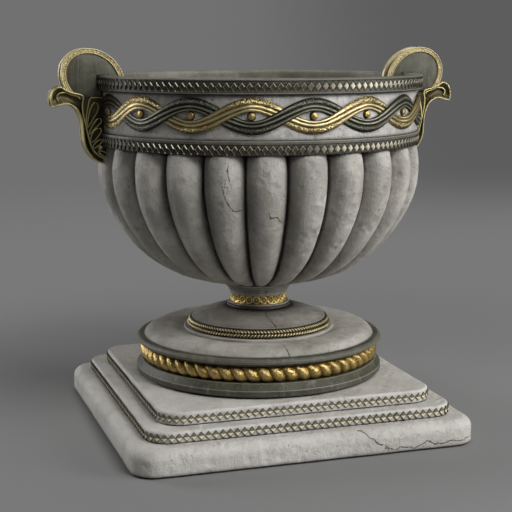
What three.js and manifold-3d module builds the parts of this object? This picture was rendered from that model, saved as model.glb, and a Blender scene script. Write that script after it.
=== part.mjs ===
// A two-handled stone vase with gilt mounts on a stepped square plinth.
// Millimetres, +Z up, front towards -Y. The origin is on the ground under the vase's axis.
import * as THREE from 'three';
import { mergeVertices } from 'three/addons/utils/BufferGeometryUtils.js';
import Module from 'manifold-3d';

const wasm = await Module();
wasm.setup();

// Clearances between pieces
const gap = 0.3;
const boreClearance = 0.5;

// Facets of the turned pieces
const largeFacets = 60;
const footFacets = 48;
const stemFacets = 24;
const rodFacets = 12;

// Plinth: a slab and two steps, each step trimmed with a lattice strip
const slabSide = 417.8;
const slabHeight = 32.3;
const slabCornerRadius = 30;
const slabTopEdgeRadius = 13;
const slabBottomEdgeRadius = 4;
const slabTread = 21.4;
const middleStepSide = slabSide - 2 * slabTread;
const middleStepHeight = 13.7;
const middleTread = 18.7;
const topStepSide = middleStepSide - 2 * middleTread;
const topStepHeight = 15.9;
const stepCornerRadius = 29;
const stepEdgeRadius = 3;
const stepFootRadius = 0.5;
const stepStripThickness = 1.5;
const middleStripLift = 0.8;
const middleStripHeight = middleStepHeight - middleStripLift - 1.3;
const topStripLift = 1.8;
const topStripHeight = topStepHeight - topStripLift - 4.1;

// Foot: turned discs stacked on the plinth
const topTread = 13.3;
const lowerRingRadius = topStepSide / 2 - topTread;
const lowerRingHeight = 17.6;
const lowerRingSlope = 4.4;
const lowerRingFootEdge = 2;
const lowerRingShoulderInset = 6.5;
const lowerRingShoulderRadius = lowerRingRadius - lowerRingShoulderInset;
const ropeHeight = 20.5;
const ropeOverhang = 2;
const ropeRadius = lowerRingShoulderRadius + ropeOverhang;
const ropeStrands = 60;
const ropeStrandDepth = 2.2;
const ropeEdgeInset = 5.5;
const ropeCrownInset = 1.2;
const ropeSlantDegrees = 5;
const ropeDepth = 11;
const footCoreRadius = ropeRadius - ropeDepth;
const upperRingOverhang = 4;
const upperRingRadius = ropeRadius + upperRingOverhang;
const upperRingHeight = 9.1;
const domeInset = 9.2;
const domeRadius = upperRingRadius - domeInset;
const domeBaseInset = 25.8;
const domeBaseRadius = domeRadius - domeBaseInset;
const domeSwell = 9.8;
const domeSwellLean = 0.7;
const domeSeatRise = 5.6;
const domeWidth = 50.8;
const capFlangeRadius = domeRadius - domeWidth;
const capFlangeHeight = 3.7;
const capFlangeWidth = 11.5;
const capNeckRadius = capFlangeRadius - capFlangeWidth;
const capEdgeOverhang = 1.7;
const capEdgeRadius = capNeckRadius + capEdgeOverhang;
const capEdgeThickness = 1;
const capUndersideRise = 11.6;
const capRise = 13.3;
const plaitInset = 3.6;
const plaitRadius = capFlangeRadius - plaitInset;
const plaitFootHeight = 2.6;
const plaitHeadroom = 1;
const plaitHeight = capUndersideRise - plaitFootHeight - plaitHeadroom;
const plaitBevel = 2.2;
const plaitTopFall = 1.5;

// Stem
const collarRadius = 36;
const collarHeight = 10.8;
const collarWaist = 1.2;
const stemBaseRadius = collarRadius + 2.8;
const stemBaseHeight = 3;
const filletRadius = stemBaseRadius + 1.2;
const filletHeight = 3.3;
const stemEdge = 1;

// Tie rod that clamps the stones together
const rodRadius = 6;
const rodHole = rodRadius + boreClearance;
const rodThreadProud = 4;
const rodFootProud = 0.5;
const nutAcrossFlats = 2 * rodRadius + 7;
const nutHeight = 10;
const washerRadius = nutAcrossFlats / 2 + 7.5;
const washerThickness = 2.5;
const counterboreRadius = washerRadius + 3;
const counterboreDepth = washerThickness + nutHeight + 4.5;

// Bowl: a gadrooned body with a spigot that stands in the collar
const spigotRadius = collarRadius - 5;
const neckBaseRadius = collarRadius + 0.4;
const neckTopRadius = neckBaseRadius + 5.6;
const neckHeight = 12.7;
const neckWaist = 0.6;
const bowlRadius = 200;
const bodyDepth = 150.5;
const bodyFullness = 5.5;
const fullUpTo = 0.55;
const shoulderHeight = 29.7;
const shoulderDrop = 10;
const gadroons = 24;
const facetsPerGadroon = 4;
const gadroonDepth = 14;
const gadroonDepthAtTop = 8;
const gadroonRoundness = 0.85;
const wallThickness = 15;
const wallThicknessAtTop = 10;
const floorThickness = 20.5;
const cavityRadius = bowlRadius - gadroonDepth - wallThickness;
const cavityTopRadius = bowlRadius - shoulderDrop - gadroonDepthAtTop - wallThicknessAtTop;
const cavityDepth = bodyDepth - floorThickness;
const cavityFloorRadius = washerRadius + 7;

// Bands above the gadroons
const friezeHeight = 48.4;
const friezeRadius = bowlRadius - 3.5;
const lowerBandHeight = 17.7;
const lowerBandRadius = friezeRadius + 2.4;
const lowerBandEdge = 0.8;
const lowerStripSeatRadius = lowerBandRadius - 1.3;
const lowerStripRadius = lowerStripSeatRadius + gap + 1.7;
const lowerStripLift = 1.2;
const lowerStripHeight = lowerBandHeight - lowerStripLift - 4.6;
const rimHeight = 17.7;
const rimRadius = friezeRadius + 5.9;
const rimStripSeatRadius = rimRadius - 1.5;
const rimStripRadius = rimStripSeatRadius + gap + 2;
const rimStripLift = 4.4;
const rimStripHeight = rimHeight - rimStripLift - 2.4;
const rimEdgeRadius = 4.4;
const mouthRadius = friezeRadius - 7.9;

// Two interlaced strands round the frieze, with a stud in each eye
const eyes = 18;
const strandWidth = 16;
const strandThickness = 2.6;
const strandMargin = 3.7;
const strandAmplitude = (friezeHeight - strandWidth) / 2 - strandMargin;
const strandRise = 0.8;
const strandStepsPerWave = 10;
const crossingHalfAngle = 5.6;
const studRadius = strandAmplitude - strandWidth / 2 + 0.5;
const studHeight = 2.6;
const studFacets = 6;

// Levels of the stack, from the ground up
const slabTop = slabHeight;
const middleTop = slabTop + middleStepHeight;
const plinthTop = middleTop + topStepHeight;
const lowerRingTop = plinthTop + lowerRingHeight;
const ropeTop = lowerRingTop + ropeHeight;
const upperRingTop = ropeTop + upperRingHeight;
const domeSeat = upperRingTop + domeSeatRise;
const flangeTop = domeSeat + capFlangeHeight;
const capEdgeZ = flangeTop + capUndersideRise;
const capTop = capEdgeZ + capRise;
const filletTop = capTop + filletHeight;
const stemBaseTop = filletTop + stemBaseHeight;
const collarTop = stemBaseTop + collarHeight;
const neckTop = collarTop + neckHeight;
const bodyStartAngle = Math.asin(neckTopRadius / bowlRadius);
const widestZ = neckTop + bodyDepth * Math.cos(bodyStartAngle);
const bowlTop = widestZ + shoulderHeight;
const bandTop = bowlTop + lowerBandHeight;
const friezeTop = bandTop + friezeHeight;
const rimTop = friezeTop + rimHeight;
const cavityFloorZ = widestZ - cavityDepth * Math.sqrt(1 - (cavityFloorRadius / cavityRadius) ** 2);
const friezeMiddle = (bandTop + friezeTop) / 2 + strandRise;

// Handles: an arm with a curled lip below, and an oval drum astride the rim above
const handleThickness = 23;
const armTopDrop = 7.7;
const armTopZ = friezeTop - armTopDrop;
const armFootDrop = 19;
const armFootZ = bowlTop - armFootDrop;
const armShoulderWidth = 9.8;
const armShoulderX = rimStripRadius + armShoulderWidth;
const armReach = 62.6;
const armBury = 10;
const lipSlope = 0.295;
const drumOverhang = 4.8;
const drumCentreX = rimStripRadius + drumOverhang;
const drumDrop = 3.7;
const drumCentreZ = rimTop - drumDrop;
const drumLongRadius = 39.9;
const drumShortRadius = 33.7;
const drumTilt = 34.6;
const drumEdgeInset = 1.9;
const drumFaceInset = 1.3;
const drumRimWidth = 6.4;
const drumRimDepth = 4;
const drumToeRise = 2.5;
const drumSlotClearance = 1.2;
const boltRadius = 3;
const boltHeadRadius = boltRadius + 4;
const boltHeadHeight = 4;
const boltReach = 11;
const spotFaceDepth = 2.5;
const upperBoltZ = bandTop + boltHeadRadius + 0.8;
const lowerBoltZ = bowlTop - boltHeadRadius - 2.6;
const pinRadius = 2.5;
const pinX = armShoulderX + 4;
const pinHalfLength = handleThickness / 2 - 0.5;

const stone = { color: 0xbab5ae, roughness: 0.75, metalness: 0 };
const darkStone = { color: 0x4b4c44, roughness: 0.35, metalness: 0 };
const gilt = { color: 0xc8a050, roughness: 0.4, metalness: 1 };
const darkBronze = { color: 0x2f3026, roughness: 0.4, metalness: 0.8 };
const steel = { color: 0x8c8c8c, roughness: 0.4, metalness: 1 };

const vase = new THREE.Group();

/** Adds a named mesh to a group. */
function addPiece(group, name, geometry, finish) {
  const mesh = new THREE.Mesh(geometry, new THREE.MeshStandardMaterial(finish));
  mesh.name = name;
  group.add(mesh);
  return mesh;
}

/** A turned solid about Z from [radius, z] points that run up the outside. */
function turned(profile, facets) {
  const points = profile.map(([radius, z]) => new THREE.Vector2(radius, z));
  return new THREE.LatheGeometry(points, facets).rotateX(Math.PI / 2);
}

/** A turned ring: the profile closes on itself. */
function turnedRing(profile, facets) {
  return turned([...profile, profile[0]], facets);
}

/** A closed tube of rings of points; every ring has the same number, and the last ring meets the first. */
function ringStack(rings) {
  const count = rings[0].length;
  const positions = rings.flatMap((ring) => ring.flatMap((point) => [point.x, point.y, point.z]));
  const indices = [];
  rings.forEach((_, row) => {
    const next = (row + 1) % rings.length;
    for (let i = 0; i < count; i += 1) {
      const j = (i + 1) % count;
      const a = row * count + i;
      const b = row * count + j;
      const c = next * count + j;
      const d = next * count + i;
      indices.push(a, b, c, a, c, d);
    }
  });
  const geometry = new THREE.BufferGeometry();
  geometry.setAttribute('position', new THREE.Float32BufferAttribute(positions, 3));
  geometry.setIndex(indices);
  return geometry;
}

/** A manifold solid from a three.js geometry. */
function toSolid(geometry) {
  const bare = geometry.clone();
  bare.deleteAttribute('normal');
  bare.deleteAttribute('uv');
  const merged = mergeVertices(bare, 1e-4);
  return new wasm.Manifold(new wasm.Mesh({
    numProp: 3,
    vertProperties: Float32Array.from(merged.attributes.position.array),
    triVerts: Uint32Array.from(merged.index.array),
  }));
}

/** A three.js geometry from a manifold solid. */
function toGeometry(solid) {
  const mesh = solid.getMesh();
  const geometry = new THREE.BufferGeometry();
  geometry.setAttribute('position', new THREE.BufferAttribute(mesh.vertProperties, 3));
  geometry.setIndex(new THREE.BufferAttribute(mesh.triVerts, 1));
  return geometry;
}

/** A geometry with the others cut out of it. */
function cut(geometry, cutters) {
  return toGeometry(cutters.reduce((solid, cutter) => solid.subtract(toSolid(cutter)), toSolid(geometry)));
}

/** Points of a square outline with rounded corners, counterclockwise, the same count for every size. */
function squareOutline(halfSide, cornerRadius, z) {
  const stepsPerCorner = 5;
  const points = [];
  for (let corner = 0; corner < 4; corner += 1) {
    const base = (corner * Math.PI) / 2;
    const centre = halfSide - cornerRadius;
    const signX = [1, -1, -1, 1][corner];
    const signY = [1, 1, -1, -1][corner];
    for (let i = 0; i < stepsPerCorner; i += 1) {
      const angle = base + (i * Math.PI) / 2 / (stepsPerCorner - 1);
      points.push(new THREE.Vector3(
        signX * centre + cornerRadius * Math.cos(angle),
        signY * centre + cornerRadius * Math.sin(angle),
        z,
      ));
    }
  }
  return points;
}

/** A square plate with rounded edges and a hole down its middle that widens below into a counterbore. */
function squarePlate({ halfSide, cornerRadius, bottom, top, topEdge, bottomEdge, boreRadius, boreTop }) {
  const circle = (radius, z) => squareOutline(radius, radius, z);
  const edge = (radius, z, inset) => squareOutline(halfSide - inset, Math.max(cornerRadius - inset, 1), z);
  const arc = [0, 30, 60, 90].map(THREE.MathUtils.degToRad);
  const rings = [];
  arc.forEach((angle) => {
    const rise = bottomEdge * (1 - Math.cos(angle));
    rings.push(edge(bottomEdge, bottom + rise, bottomEdge * (1 - Math.sin(angle))));
  });
  arc.forEach((angle) => {
    const fall = topEdge * (1 - Math.sin(angle));
    rings.push(edge(topEdge, top - fall, topEdge * (1 - Math.cos(angle))));
  });
  rings.push(circle(rodHole, top));
  if (boreTop > bottom) {
    rings.push(circle(rodHole, boreTop), circle(boreRadius, boreTop), circle(boreRadius, bottom));
  } else {
    rings.push(circle(rodHole, bottom));
  }
  return ringStack(rings);
}

/** A strip that runs round a square step, a gap clear of its sides. */
function squareStrip(halfSide, cornerRadius, bottom, height) {
  const inner = gap;
  const outer = gap + stepStripThickness;
  const ring = (offset, z) => squareOutline(halfSide + offset, cornerRadius + offset, z);
  return ringStack([
    ring(outer, bottom), ring(outer, bottom + height), ring(inner, bottom + height), ring(inner, bottom),
  ]);
}

function buildPlinth() {
  addPiece(vase, 'plinth_slab', squarePlate({
    halfSide: slabSide / 2,
    cornerRadius: slabCornerRadius,
    bottom: 0,
    top: slabTop,
    topEdge: slabTopEdgeRadius,
    bottomEdge: slabBottomEdgeRadius,
    boreRadius: counterboreRadius,
    boreTop: counterboreDepth,
  }), stone);
  const steps = [
    ['middle', middleStepSide / 2, slabTop, middleTop, middleStripLift, middleStripHeight],
    ['top', topStepSide / 2, middleTop, plinthTop, topStripLift, topStripHeight],
  ];
  steps.forEach(([place, halfSide, bottom, top, lift, height]) => {
    addPiece(vase, `plinth_${place}_step`, squarePlate({
      halfSide,
      cornerRadius: stepCornerRadius,
      bottom,
      top,
      topEdge: stepEdgeRadius,
      bottomEdge: stepFootRadius,
      boreRadius: rodHole,
      boreTop: bottom,
    }), stone);
    const strip = squareStrip(halfSide, stepCornerRadius, bottom + lift, height);
    addPiece(vase, `${place}_step_lattice`, strip, gilt);
  });
}

/** The carved rope: a ring whose outside swells between slanting grooves. */
function ropeRing() {
  const stepsPerStrand = 2;
  const count = ropeStrands * stepsPerStrand;
  const bottom = lowerRingTop;
  const height = ropeHeight - gap;
  const fullSlant = -THREE.MathUtils.degToRad(ropeSlantDegrees);
  const levels = [[0, ropeEdgeInset], [0.28, ropeCrownInset], [0.72, ropeCrownInset], [1, ropeEdgeInset]];
  const circle = (radiusAt, z, turn) => Array.from({ length: count }, (_, i) => {
    const angle = (i / count) * 2 * Math.PI + turn;
    const radius = radiusAt(i);
    return new THREE.Vector3(radius * Math.cos(angle), radius * Math.sin(angle), z);
  });
  const rings = levels.map(([share, inset]) => circle(
    (i) => ropeRadius - inset - (i % stepsPerStrand === 0 ? ropeStrandDepth : 0),
    bottom + share * height,
    fullSlant * share,
  ));
  rings.push(circle(() => footCoreRadius + boreClearance, bottom + height, 0));
  rings.push(circle(() => footCoreRadius + boreClearance, bottom, 0));
  return ringStack(rings);
}

function buildFoot() {
  addPiece(vase, 'foot_lower_ring', turnedRing([
    [rodHole, plinthTop],
    [lowerRingRadius - lowerRingFootEdge, plinthTop],
    [lowerRingRadius, plinthTop + lowerRingFootEdge],
    [lowerRingRadius, lowerRingTop - lowerRingSlope],
    [lowerRingShoulderRadius, lowerRingTop],
    [footCoreRadius, lowerRingTop],
    [footCoreRadius, ropeTop],
    [rodHole, ropeTop],
  ], footFacets), darkStone);
  addPiece(vase, 'foot_rope_ring', ropeRing(), gilt);
  const bead = upperRingHeight / 2;
  const beadRadius = upperRingRadius - bead;
  const beadZ = ropeTop + bead;
  const beadPoints = [-90, -45, 0, 45, 80].map(THREE.MathUtils.degToRad).map((angle) => [
    beadRadius + bead * Math.cos(angle),
    beadZ + bead * Math.sin(angle),
  ]);
  addPiece(vase, 'foot_upper_ring', turnedRing([
    [domeBaseRadius + gap, ropeTop],
    ...beadPoints,
    [domeRadius + gap, upperRingTop],
    [domeBaseRadius + gap, upperRingTop],
  ], footFacets), darkStone);
  const swellProfile = [0, 0.1, 0.28, 0.6, 0.85, 1].map((share) => {
    const crown = domeSwell * (1 - (2 * share - 1) ** 4) * (1 - domeSwellLean * share);
    return [
      domeRadius + (capFlangeRadius - domeRadius) * share,
      upperRingTop + domeSeatRise * share + crown,
    ];
  });
  addPiece(vase, 'foot_dome', turnedRing([
    [rodHole, ropeTop],
    [domeBaseRadius, ropeTop],
    [domeBaseRadius, upperRingTop],
    ...swellProfile,
    [rodHole, domeSeat],
  ], footFacets), stone);
  const capShares = [1, 0.8, 0.45, 0];
  const capWidth = capEdgeRadius - filletRadius;
  addPiece(vase, 'foot_cap', turnedRing([
    [rodHole, domeSeat],
    [capFlangeRadius, domeSeat],
    [capFlangeRadius, flangeTop],
    [capNeckRadius, flangeTop],
    [capNeckRadius, capEdgeZ - capEdgeThickness],
    [capEdgeRadius, capEdgeZ - capEdgeThickness],
    ...capShares.map((share) => [filletRadius + capWidth * share, capEdgeZ + capRise * (1 - share ** 1.6)]),
    [rodHole, capTop],
  ], footFacets), stone);
  const plaitInner = capNeckRadius + gap;
  const plaitBottom = flangeTop + plaitFootHeight;
  const plaitTop = plaitBottom + plaitHeight;
  addPiece(vase, 'foot_plait_ring', turnedRing([
    [plaitInner, flangeTop],
    [plaitRadius - plaitBevel, flangeTop],
    [plaitRadius - plaitBevel, plaitBottom],
    [plaitRadius, plaitBottom + plaitHeight / 4],
    [plaitRadius, plaitTop - plaitHeight / 4],
    [plaitRadius - plaitBevel, plaitTop],
    [plaitInner, plaitTop - plaitTopFall],
  ], footFacets), gilt);
}

function buildStem() {
  addPiece(vase, 'stem_fillet_ring', turnedRing([
    [rodHole, capTop],
    [filletRadius, capTop],
    [filletRadius, filletTop - stemEdge],
    [filletRadius - stemEdge, filletTop],
    [rodHole, filletTop],
  ], stemFacets), darkStone);
  addPiece(vase, 'stem_base_ring', turnedRing([
    [rodHole, filletTop],
    [stemBaseRadius, filletTop],
    [stemBaseRadius, stemBaseTop - stemEdge],
    [stemBaseRadius - stemEdge, stemBaseTop],
    [rodHole, stemBaseTop],
  ], stemFacets), stone);
  addPiece(vase, 'stem_collar', turnedRing([
    [spigotRadius + gap, stemBaseTop],
    [collarRadius, stemBaseTop],
    [collarRadius - collarWaist, stemBaseTop + collarHeight * 0.35],
    [collarRadius - collarWaist, stemBaseTop + collarHeight * 0.65],
    [collarRadius, collarTop - gap],
    [spigotRadius + gap, collarTop - gap],
  ], stemFacets), gilt);
}

/** Radius of the inner wall above the bowl: it opens evenly from the bowl's top to the mouth. */
function wallRadius(z) {
  const share = (z - bowlTop) / (rimTop - rimEdgeRadius - bowlTop);
  return cavityTopRadius + (mouthRadius - cavityTopRadius) * Math.min(share, 1);
}

/** Crest radius, height and groove depth of the gadrooned body at each of its levels. */
function bodyLevels() {
  const lower = [0, 0.07, 0.24, 0.42, 0.62, 0.82, 1].map((share) => {
    const angle = bodyStartAngle + (Math.PI / 2 - bodyStartAngle) * share;
    const fuller = bodyFullness * Math.sin(Math.PI * Math.min(share / fullUpTo, 1));
    const radius = bowlRadius * Math.sin(angle) + fuller;
    return {
      radius,
      z: widestZ - bodyDepth * Math.cos(angle),
      depth: share === 0 ? 0 : (gadroonDepth * radius) / bowlRadius,
    };
  });
  const shoulder = [0.6, 1].map((share) => ({
    radius: bowlRadius - shoulderDrop * (1 - Math.sqrt(1 - share ** 2)),
    z: widestZ + shoulderHeight * share,
    depth: gadroonDepth + (gadroonDepthAtTop - gadroonDepth) * share,
  }));
  return [...lower, ...shoulder];
}

/** How far a unit circle has fallen at a distance from its top. */
function roundFall(distance) {
  return 1 - Math.sqrt(1 - distance ** 2);
}

/** One round of the bowl: lobes of circular section between grooves, with a crest on the front. */
function lobedRing({ radius, z, depth }) {
  const count = gadroons * facetsPerGadroon;
  return Array.from({ length: count }, (_, i) => {
    const across = ((i + facetsPerGadroon / 2) % facetsPerGadroon) / facetsPerGadroon;
    const offset = 2 * across - 1;
    const fall = roundFall(gadroonRoundness * offset) / roundFall(gadroonRoundness);
    const angle = (i / count) * 2 * Math.PI;
    const lobed = radius - depth * fall;
    return new THREE.Vector3(lobed * Math.cos(angle), lobed * Math.sin(angle), z);
  });
}

/** A bolt lying along X with its head towards the axis; the foot of its head is at x = 0. */
function boltGeometry(shankLength) {
  return turned([
    [0, -boltHeadHeight],
    [boltHeadRadius, -boltHeadHeight],
    [boltHeadRadius, 0],
    [boltRadius, 0],
    [boltRadius, shankLength],
    [0, shankLength],
  ], rodFacets).rotateY(Math.PI / 2);
}

/** Where each bolt's head seats and how far its shank reaches. */
function boltPlaces() {
  const upperSeat = wallRadius(upperBoltZ) + spotFaceDepth;
  const lowerSeat = cavityRadius + spotFaceDepth;
  return [
    { name: 'upper', z: upperBoltZ, seat: upperSeat, face: strandClearRadius() },
    { name: 'lower', z: lowerBoltZ, seat: lowerSeat, face: bowlRadius },
  ];
}

/** Radius just outside the strands, where the arms bear. */
function strandClearRadius() {
  return friezeRadius + 2 * (gap + strandThickness) + 2 * gap;
}

/** The holes for one bolt on both sides of the vase: a clear bore and a spot face for the head. */
function boltCutters({ z, seat, face }) {
  const end = face + boltReach + gap;
  const openEnd = -boltHeadHeight - wallThickness;
  const cutter = turned([
    [0, openEnd],
    [boltHeadRadius + gap, openEnd],
    [boltHeadRadius + gap, 0],
    [boltRadius + gap, 0],
    [boltRadius + gap, end - seat],
    [0, end - seat],
  ], rodFacets).rotateY(Math.PI / 2);
  const right = cutter.clone().translate(seat, 0, z);
  const left = right.clone().rotateZ(Math.PI);
  return [right, left];
}

function buildBowl() {
  const levels = bodyLevels();
  const plain = (radius, z) => lobedRing({ radius, z, depth: 0 });
  const body = ringStack([plain(rodHole, neckTop), ...levels.map(lobedRing), plain(rodHole, bowlTop)]);
  const neckOverlap = 4;
  const neck = turnedRing([
    [rodHole, stemBaseTop],
    [spigotRadius, stemBaseTop],
    [spigotRadius, collarTop],
    [neckBaseRadius, collarTop],
    [(neckBaseRadius + neckTopRadius) / 2 - neckWaist, collarTop + neckHeight / 2],
    [neckTopRadius, neckTop],
    [neckTopRadius - 1, neckTop + neckOverlap],
    [rodHole + 1, neckTop + neckOverlap],
    [rodHole, neckTop - 1],
  ], stemFacets);
  const cavityAngles = [78, 60, 44, 28].map(THREE.MathUtils.degToRad);
  const cavity = turned([
    [0, cavityFloorZ],
    [cavityFloorRadius, cavityFloorZ],
    ...cavityAngles.reverse().map((angle) => [
      cavityRadius * Math.sin(angle),
      widestZ - cavityDepth * Math.cos(angle),
    ]),
    [cavityRadius, widestZ],
    [cavityTopRadius, bowlTop],
    [cavityTopRadius, bowlTop + 1],
    [0, bowlTop + 1],
  ], footFacets);
  const lowerBolt = boltPlaces().find(({ name }) => name === 'lower');
  const shell = toGeometry(toSolid(body).add(toSolid(neck)));
  addPiece(vase, 'bowl', cut(shell, [cavity, ...boltCutters(lowerBolt)]), stone);
}

function buildBands() {
  const stripTop = bowlTop + lowerStripLift + lowerStripHeight;
  addPiece(vase, 'lower_band', turnedRing([
    [wallRadius(bowlTop), bowlTop],
    [lowerStripSeatRadius, bowlTop],
    [lowerStripSeatRadius, stripTop + gap],
    [lowerBandRadius, stripTop + gap + lowerBandEdge],
    [lowerBandRadius, bandTop - lowerBandEdge],
    [lowerBandRadius - lowerBandEdge, bandTop],
    [wallRadius(bandTop), bandTop],
  ], largeFacets), darkStone);
  addPiece(vase, 'lower_band_lattice', turnedRing([
    [lowerStripSeatRadius + gap, bowlTop + lowerStripLift],
    [lowerStripRadius, bowlTop + lowerStripLift],
    [lowerStripRadius, stripTop],
    [lowerStripSeatRadius + gap, stripTop],
  ], largeFacets), gilt);
  const frieze = turnedRing([
    [wallRadius(bandTop), bandTop],
    [friezeRadius, bandTop],
    [friezeRadius, friezeTop],
    [wallRadius(friezeTop), friezeTop],
  ], largeFacets);
  const upperBolt = boltPlaces().find(({ name }) => name === 'upper');
  addPiece(vase, 'frieze', cut(frieze, boltCutters(upperBolt)), stone);
  const rimStripBottom = friezeTop + rimStripLift;
  const rimStripTop = rimStripBottom + rimStripHeight;
  const roundOver = [0, 90].map(THREE.MathUtils.degToRad);
  const outerRound = rimTop - rimStripTop - gap;
  addPiece(vase, 'rim', turnedRing([
    [wallRadius(friezeTop), friezeTop],
    [rimStripSeatRadius, friezeTop],
    [rimStripSeatRadius, rimStripTop + gap],
    ...roundOver.map((angle) => [
      rimRadius - outerRound * (1 - Math.cos(angle)),
      rimTop - outerRound * (1 - Math.sin(angle)),
    ]),
    ...roundOver.reverse().map((angle) => [
      mouthRadius + rimEdgeRadius * (1 - Math.cos(angle)),
      rimTop - rimEdgeRadius * (1 - Math.sin(angle)),
    ]),
  ], largeFacets), darkStone);
  addPiece(vase, 'rim_lattice', turnedRing([
    [rimStripSeatRadius + gap, rimStripBottom],
    [rimStripRadius, rimStripBottom],
    [rimStripRadius, rimStripTop],
    [rimStripSeatRadius + gap, rimStripTop],
  ], largeFacets), gilt);
}

/** Share of the way outwards at an angle from the crossing where a strand passes over. */
function overShare(degreesFromOver) {
  const waveHalf = 360 / eyes;
  const folded = Math.abs(((degreesFromOver + 3 * waveHalf) % (2 * waveHalf)) - waveHalf);
  return 1 - THREE.MathUtils.smoothstep(folded, crossingHalfAngle, waveHalf - crossingHalfAngle);
}

/**
 * One strand of the interlace: a band that waves round the frieze once for every two eyes.
 * Phase 0 has its crest on the front eye, phase 180 its trough. The strand passes over where it
 * rises towards the right as seen from outside, and under where it falls.
 */
function strandGeometry(phaseDegrees) {
  const waves = eyes / 2;
  const count = waves * strandStepsPerWave;
  const inner = friezeRadius + gap;
  const sections = Array.from({ length: count }, (_, i) => {
    const degrees = (i / count) * 360;
    const phase = THREE.MathUtils.degToRad(waves * degrees + phaseDegrees);
    const slope = (-strandAmplitude * waves * Math.sin(phase)) / inner;
    const lean = Math.atan(slope);
    const lift = (strandThickness + gap) * overShare(degrees + phaseDegrees / waves + 90 / waves);
    const corner = (side, radial) => {
      const angle = THREE.MathUtils.degToRad(degrees) - (side * strandWidth * Math.sin(lean)) / 2 / inner;
      const radius = inner + lift + radial;
      return new THREE.Vector3(
        radius * Math.sin(angle),
        -radius * Math.cos(angle),
        friezeMiddle + strandAmplitude * Math.cos(phase) + (side * strandWidth * Math.cos(lean)) / 2,
      );
    };
    return [corner(-1, 0), corner(1, 0), corner(1, strandThickness), corner(-1, strandThickness)];
  });
  return ringStack(sections);
}

function buildInterlace() {
  addPiece(vase, 'guilloche_gold', strandGeometry(180), gilt);
  addPiece(vase, 'guilloche_dark', strandGeometry(0), darkBronze);
  for (let i = 0; i < eyes; i += 1) {
    const stud = turned([
      [0, 0], [studRadius, 0], [studRadius * 0.65, studHeight * 0.8], [0, studHeight],
    ], studFacets);
    const number = String(i + 1).padStart(2, '0');
    const mesh = addPiece(vase, `eye_stud_${number}`, stud.rotateX(Math.PI / 2), gilt);
    const angle = (i / eyes) * 2 * Math.PI;
    const radius = friezeRadius + gap;
    mesh.position.set(radius * Math.sin(angle), -radius * Math.cos(angle), friezeMiddle);
    mesh.rotation.z = angle;
  }
}

/** A hexagonal nut standing on its lower face at z = 0. */
function nutGeometry() {
  const corner = nutAcrossFlats / 2 / Math.cos(Math.PI / 6);
  const outline = new THREE.Shape(Array.from({ length: 6 }, (_, i) => new THREE.Vector2(
    corner * Math.cos((i * Math.PI) / 3),
    corner * Math.sin((i * Math.PI) / 3),
  )));
  outline.holes.push(new THREE.Path().absarc(0, 0, rodRadius + gap, 0, 2 * Math.PI, true));
  const curveSegments = rodFacets / 2;
  return new THREE.ExtrudeGeometry(outline, { depth: nutHeight, bevelEnabled: false, curveSegments });
}

function buildTieRod() {
  const washer = (bottom) => turnedRing([
    [rodRadius + gap, bottom],
    [washerRadius, bottom],
    [washerRadius, bottom + washerThickness],
    [rodRadius + gap, bottom + washerThickness],
  ], rodFacets);
  const lowerWasherZ = counterboreDepth - washerThickness;
  const upperNutZ = cavityFloorZ + washerThickness;
  const rodTop = upperNutZ + nutHeight + rodThreadProud;
  const rodFoot = lowerWasherZ - nutHeight - rodFootProud;
  addPiece(vase, 'tie_rod', new THREE.CylinderGeometry(rodRadius, rodRadius, rodTop - rodFoot, rodFacets)
    .rotateX(Math.PI / 2)
    .translate(0, 0, (rodTop + rodFoot) / 2), steel);
  addPiece(vase, 'tie_rod_lower_washer', washer(lowerWasherZ), steel);
  addPiece(vase, 'tie_rod_upper_washer', washer(cavityFloorZ), steel);
  addPiece(vase, 'tie_rod_lower_nut', nutGeometry().translate(0, 0, lowerWasherZ - nutHeight), steel);
  addPiece(vase, 'tie_rod_upper_nut', nutGeometry().translate(0, 0, upperNutZ), steel);
}

/** Height of the arm's upper edge, on which the drum stands, at a distance from the axis. */
function armEdge(x) {
  return armTopZ + Math.max(0, x - armShoulderX) * lipSlope;
}

/** Points of the drum's leaning oval, drawn in by an inset, from the arm's edge over the top to the toe. */
function drumArc(inset) {
  const tilt = THREE.MathUtils.degToRad(drumTilt);
  const toeZ = armTopZ + gap + drumToeRise;
  const pointAt = (angle) => {
    const long = (drumLongRadius - inset) * Math.cos(angle);
    const short = (drumShortRadius - inset) * Math.sin(angle);
    return new THREE.Vector2(
      drumCentreX + long * Math.cos(tilt) - short * Math.sin(tilt),
      drumCentreZ + long * Math.sin(tilt) + short * Math.cos(tilt),
    );
  };
  const isClear = (point) => point.y > (point.x > drumCentreX ? armEdge(point.x) + gap : toeZ);
  const findEnd = (insideAngle, outsideAngle) => {
    let low = insideAngle;
    let high = outsideAngle;
    for (let i = 0; i < 40; i += 1) {
      const middle = (low + high) / 2;
      if (isClear(pointAt(middle))) {
        low = middle;
      } else {
        high = middle;
      }
    }
    return low;
  };
  const start = findEnd(0, -Math.PI / 2);
  const end = findEnd(Math.PI / 2, (3 * Math.PI) / 2);
  const steps = 18;
  return Array.from({ length: steps + 1 }, (_, i) => pointAt(start + ((end - start) * i) / steps));
}

/** The drum's outline: the oval astride the rim, with a slot below for the rim. */
function drumOutline(inset) {
  const arc = drumArc(inset);
  const slotOuter = rimStripRadius + gap;
  const slotInner = wallRadius(armTopZ) - drumSlotClearance;
  const slotTop = rimTop + gap;
  const toe = arc[arc.length - 1];
  return new THREE.Shape([
    new THREE.Vector2(slotOuter, slotTop),
    new THREE.Vector2(slotOuter, armTopZ + gap),
    new THREE.Vector2(armShoulderX, armTopZ + gap),
    ...arc,
    new THREE.Vector2(slotInner, toe.y),
    new THREE.Vector2(slotInner, slotTop),
  ]);
}

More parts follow.
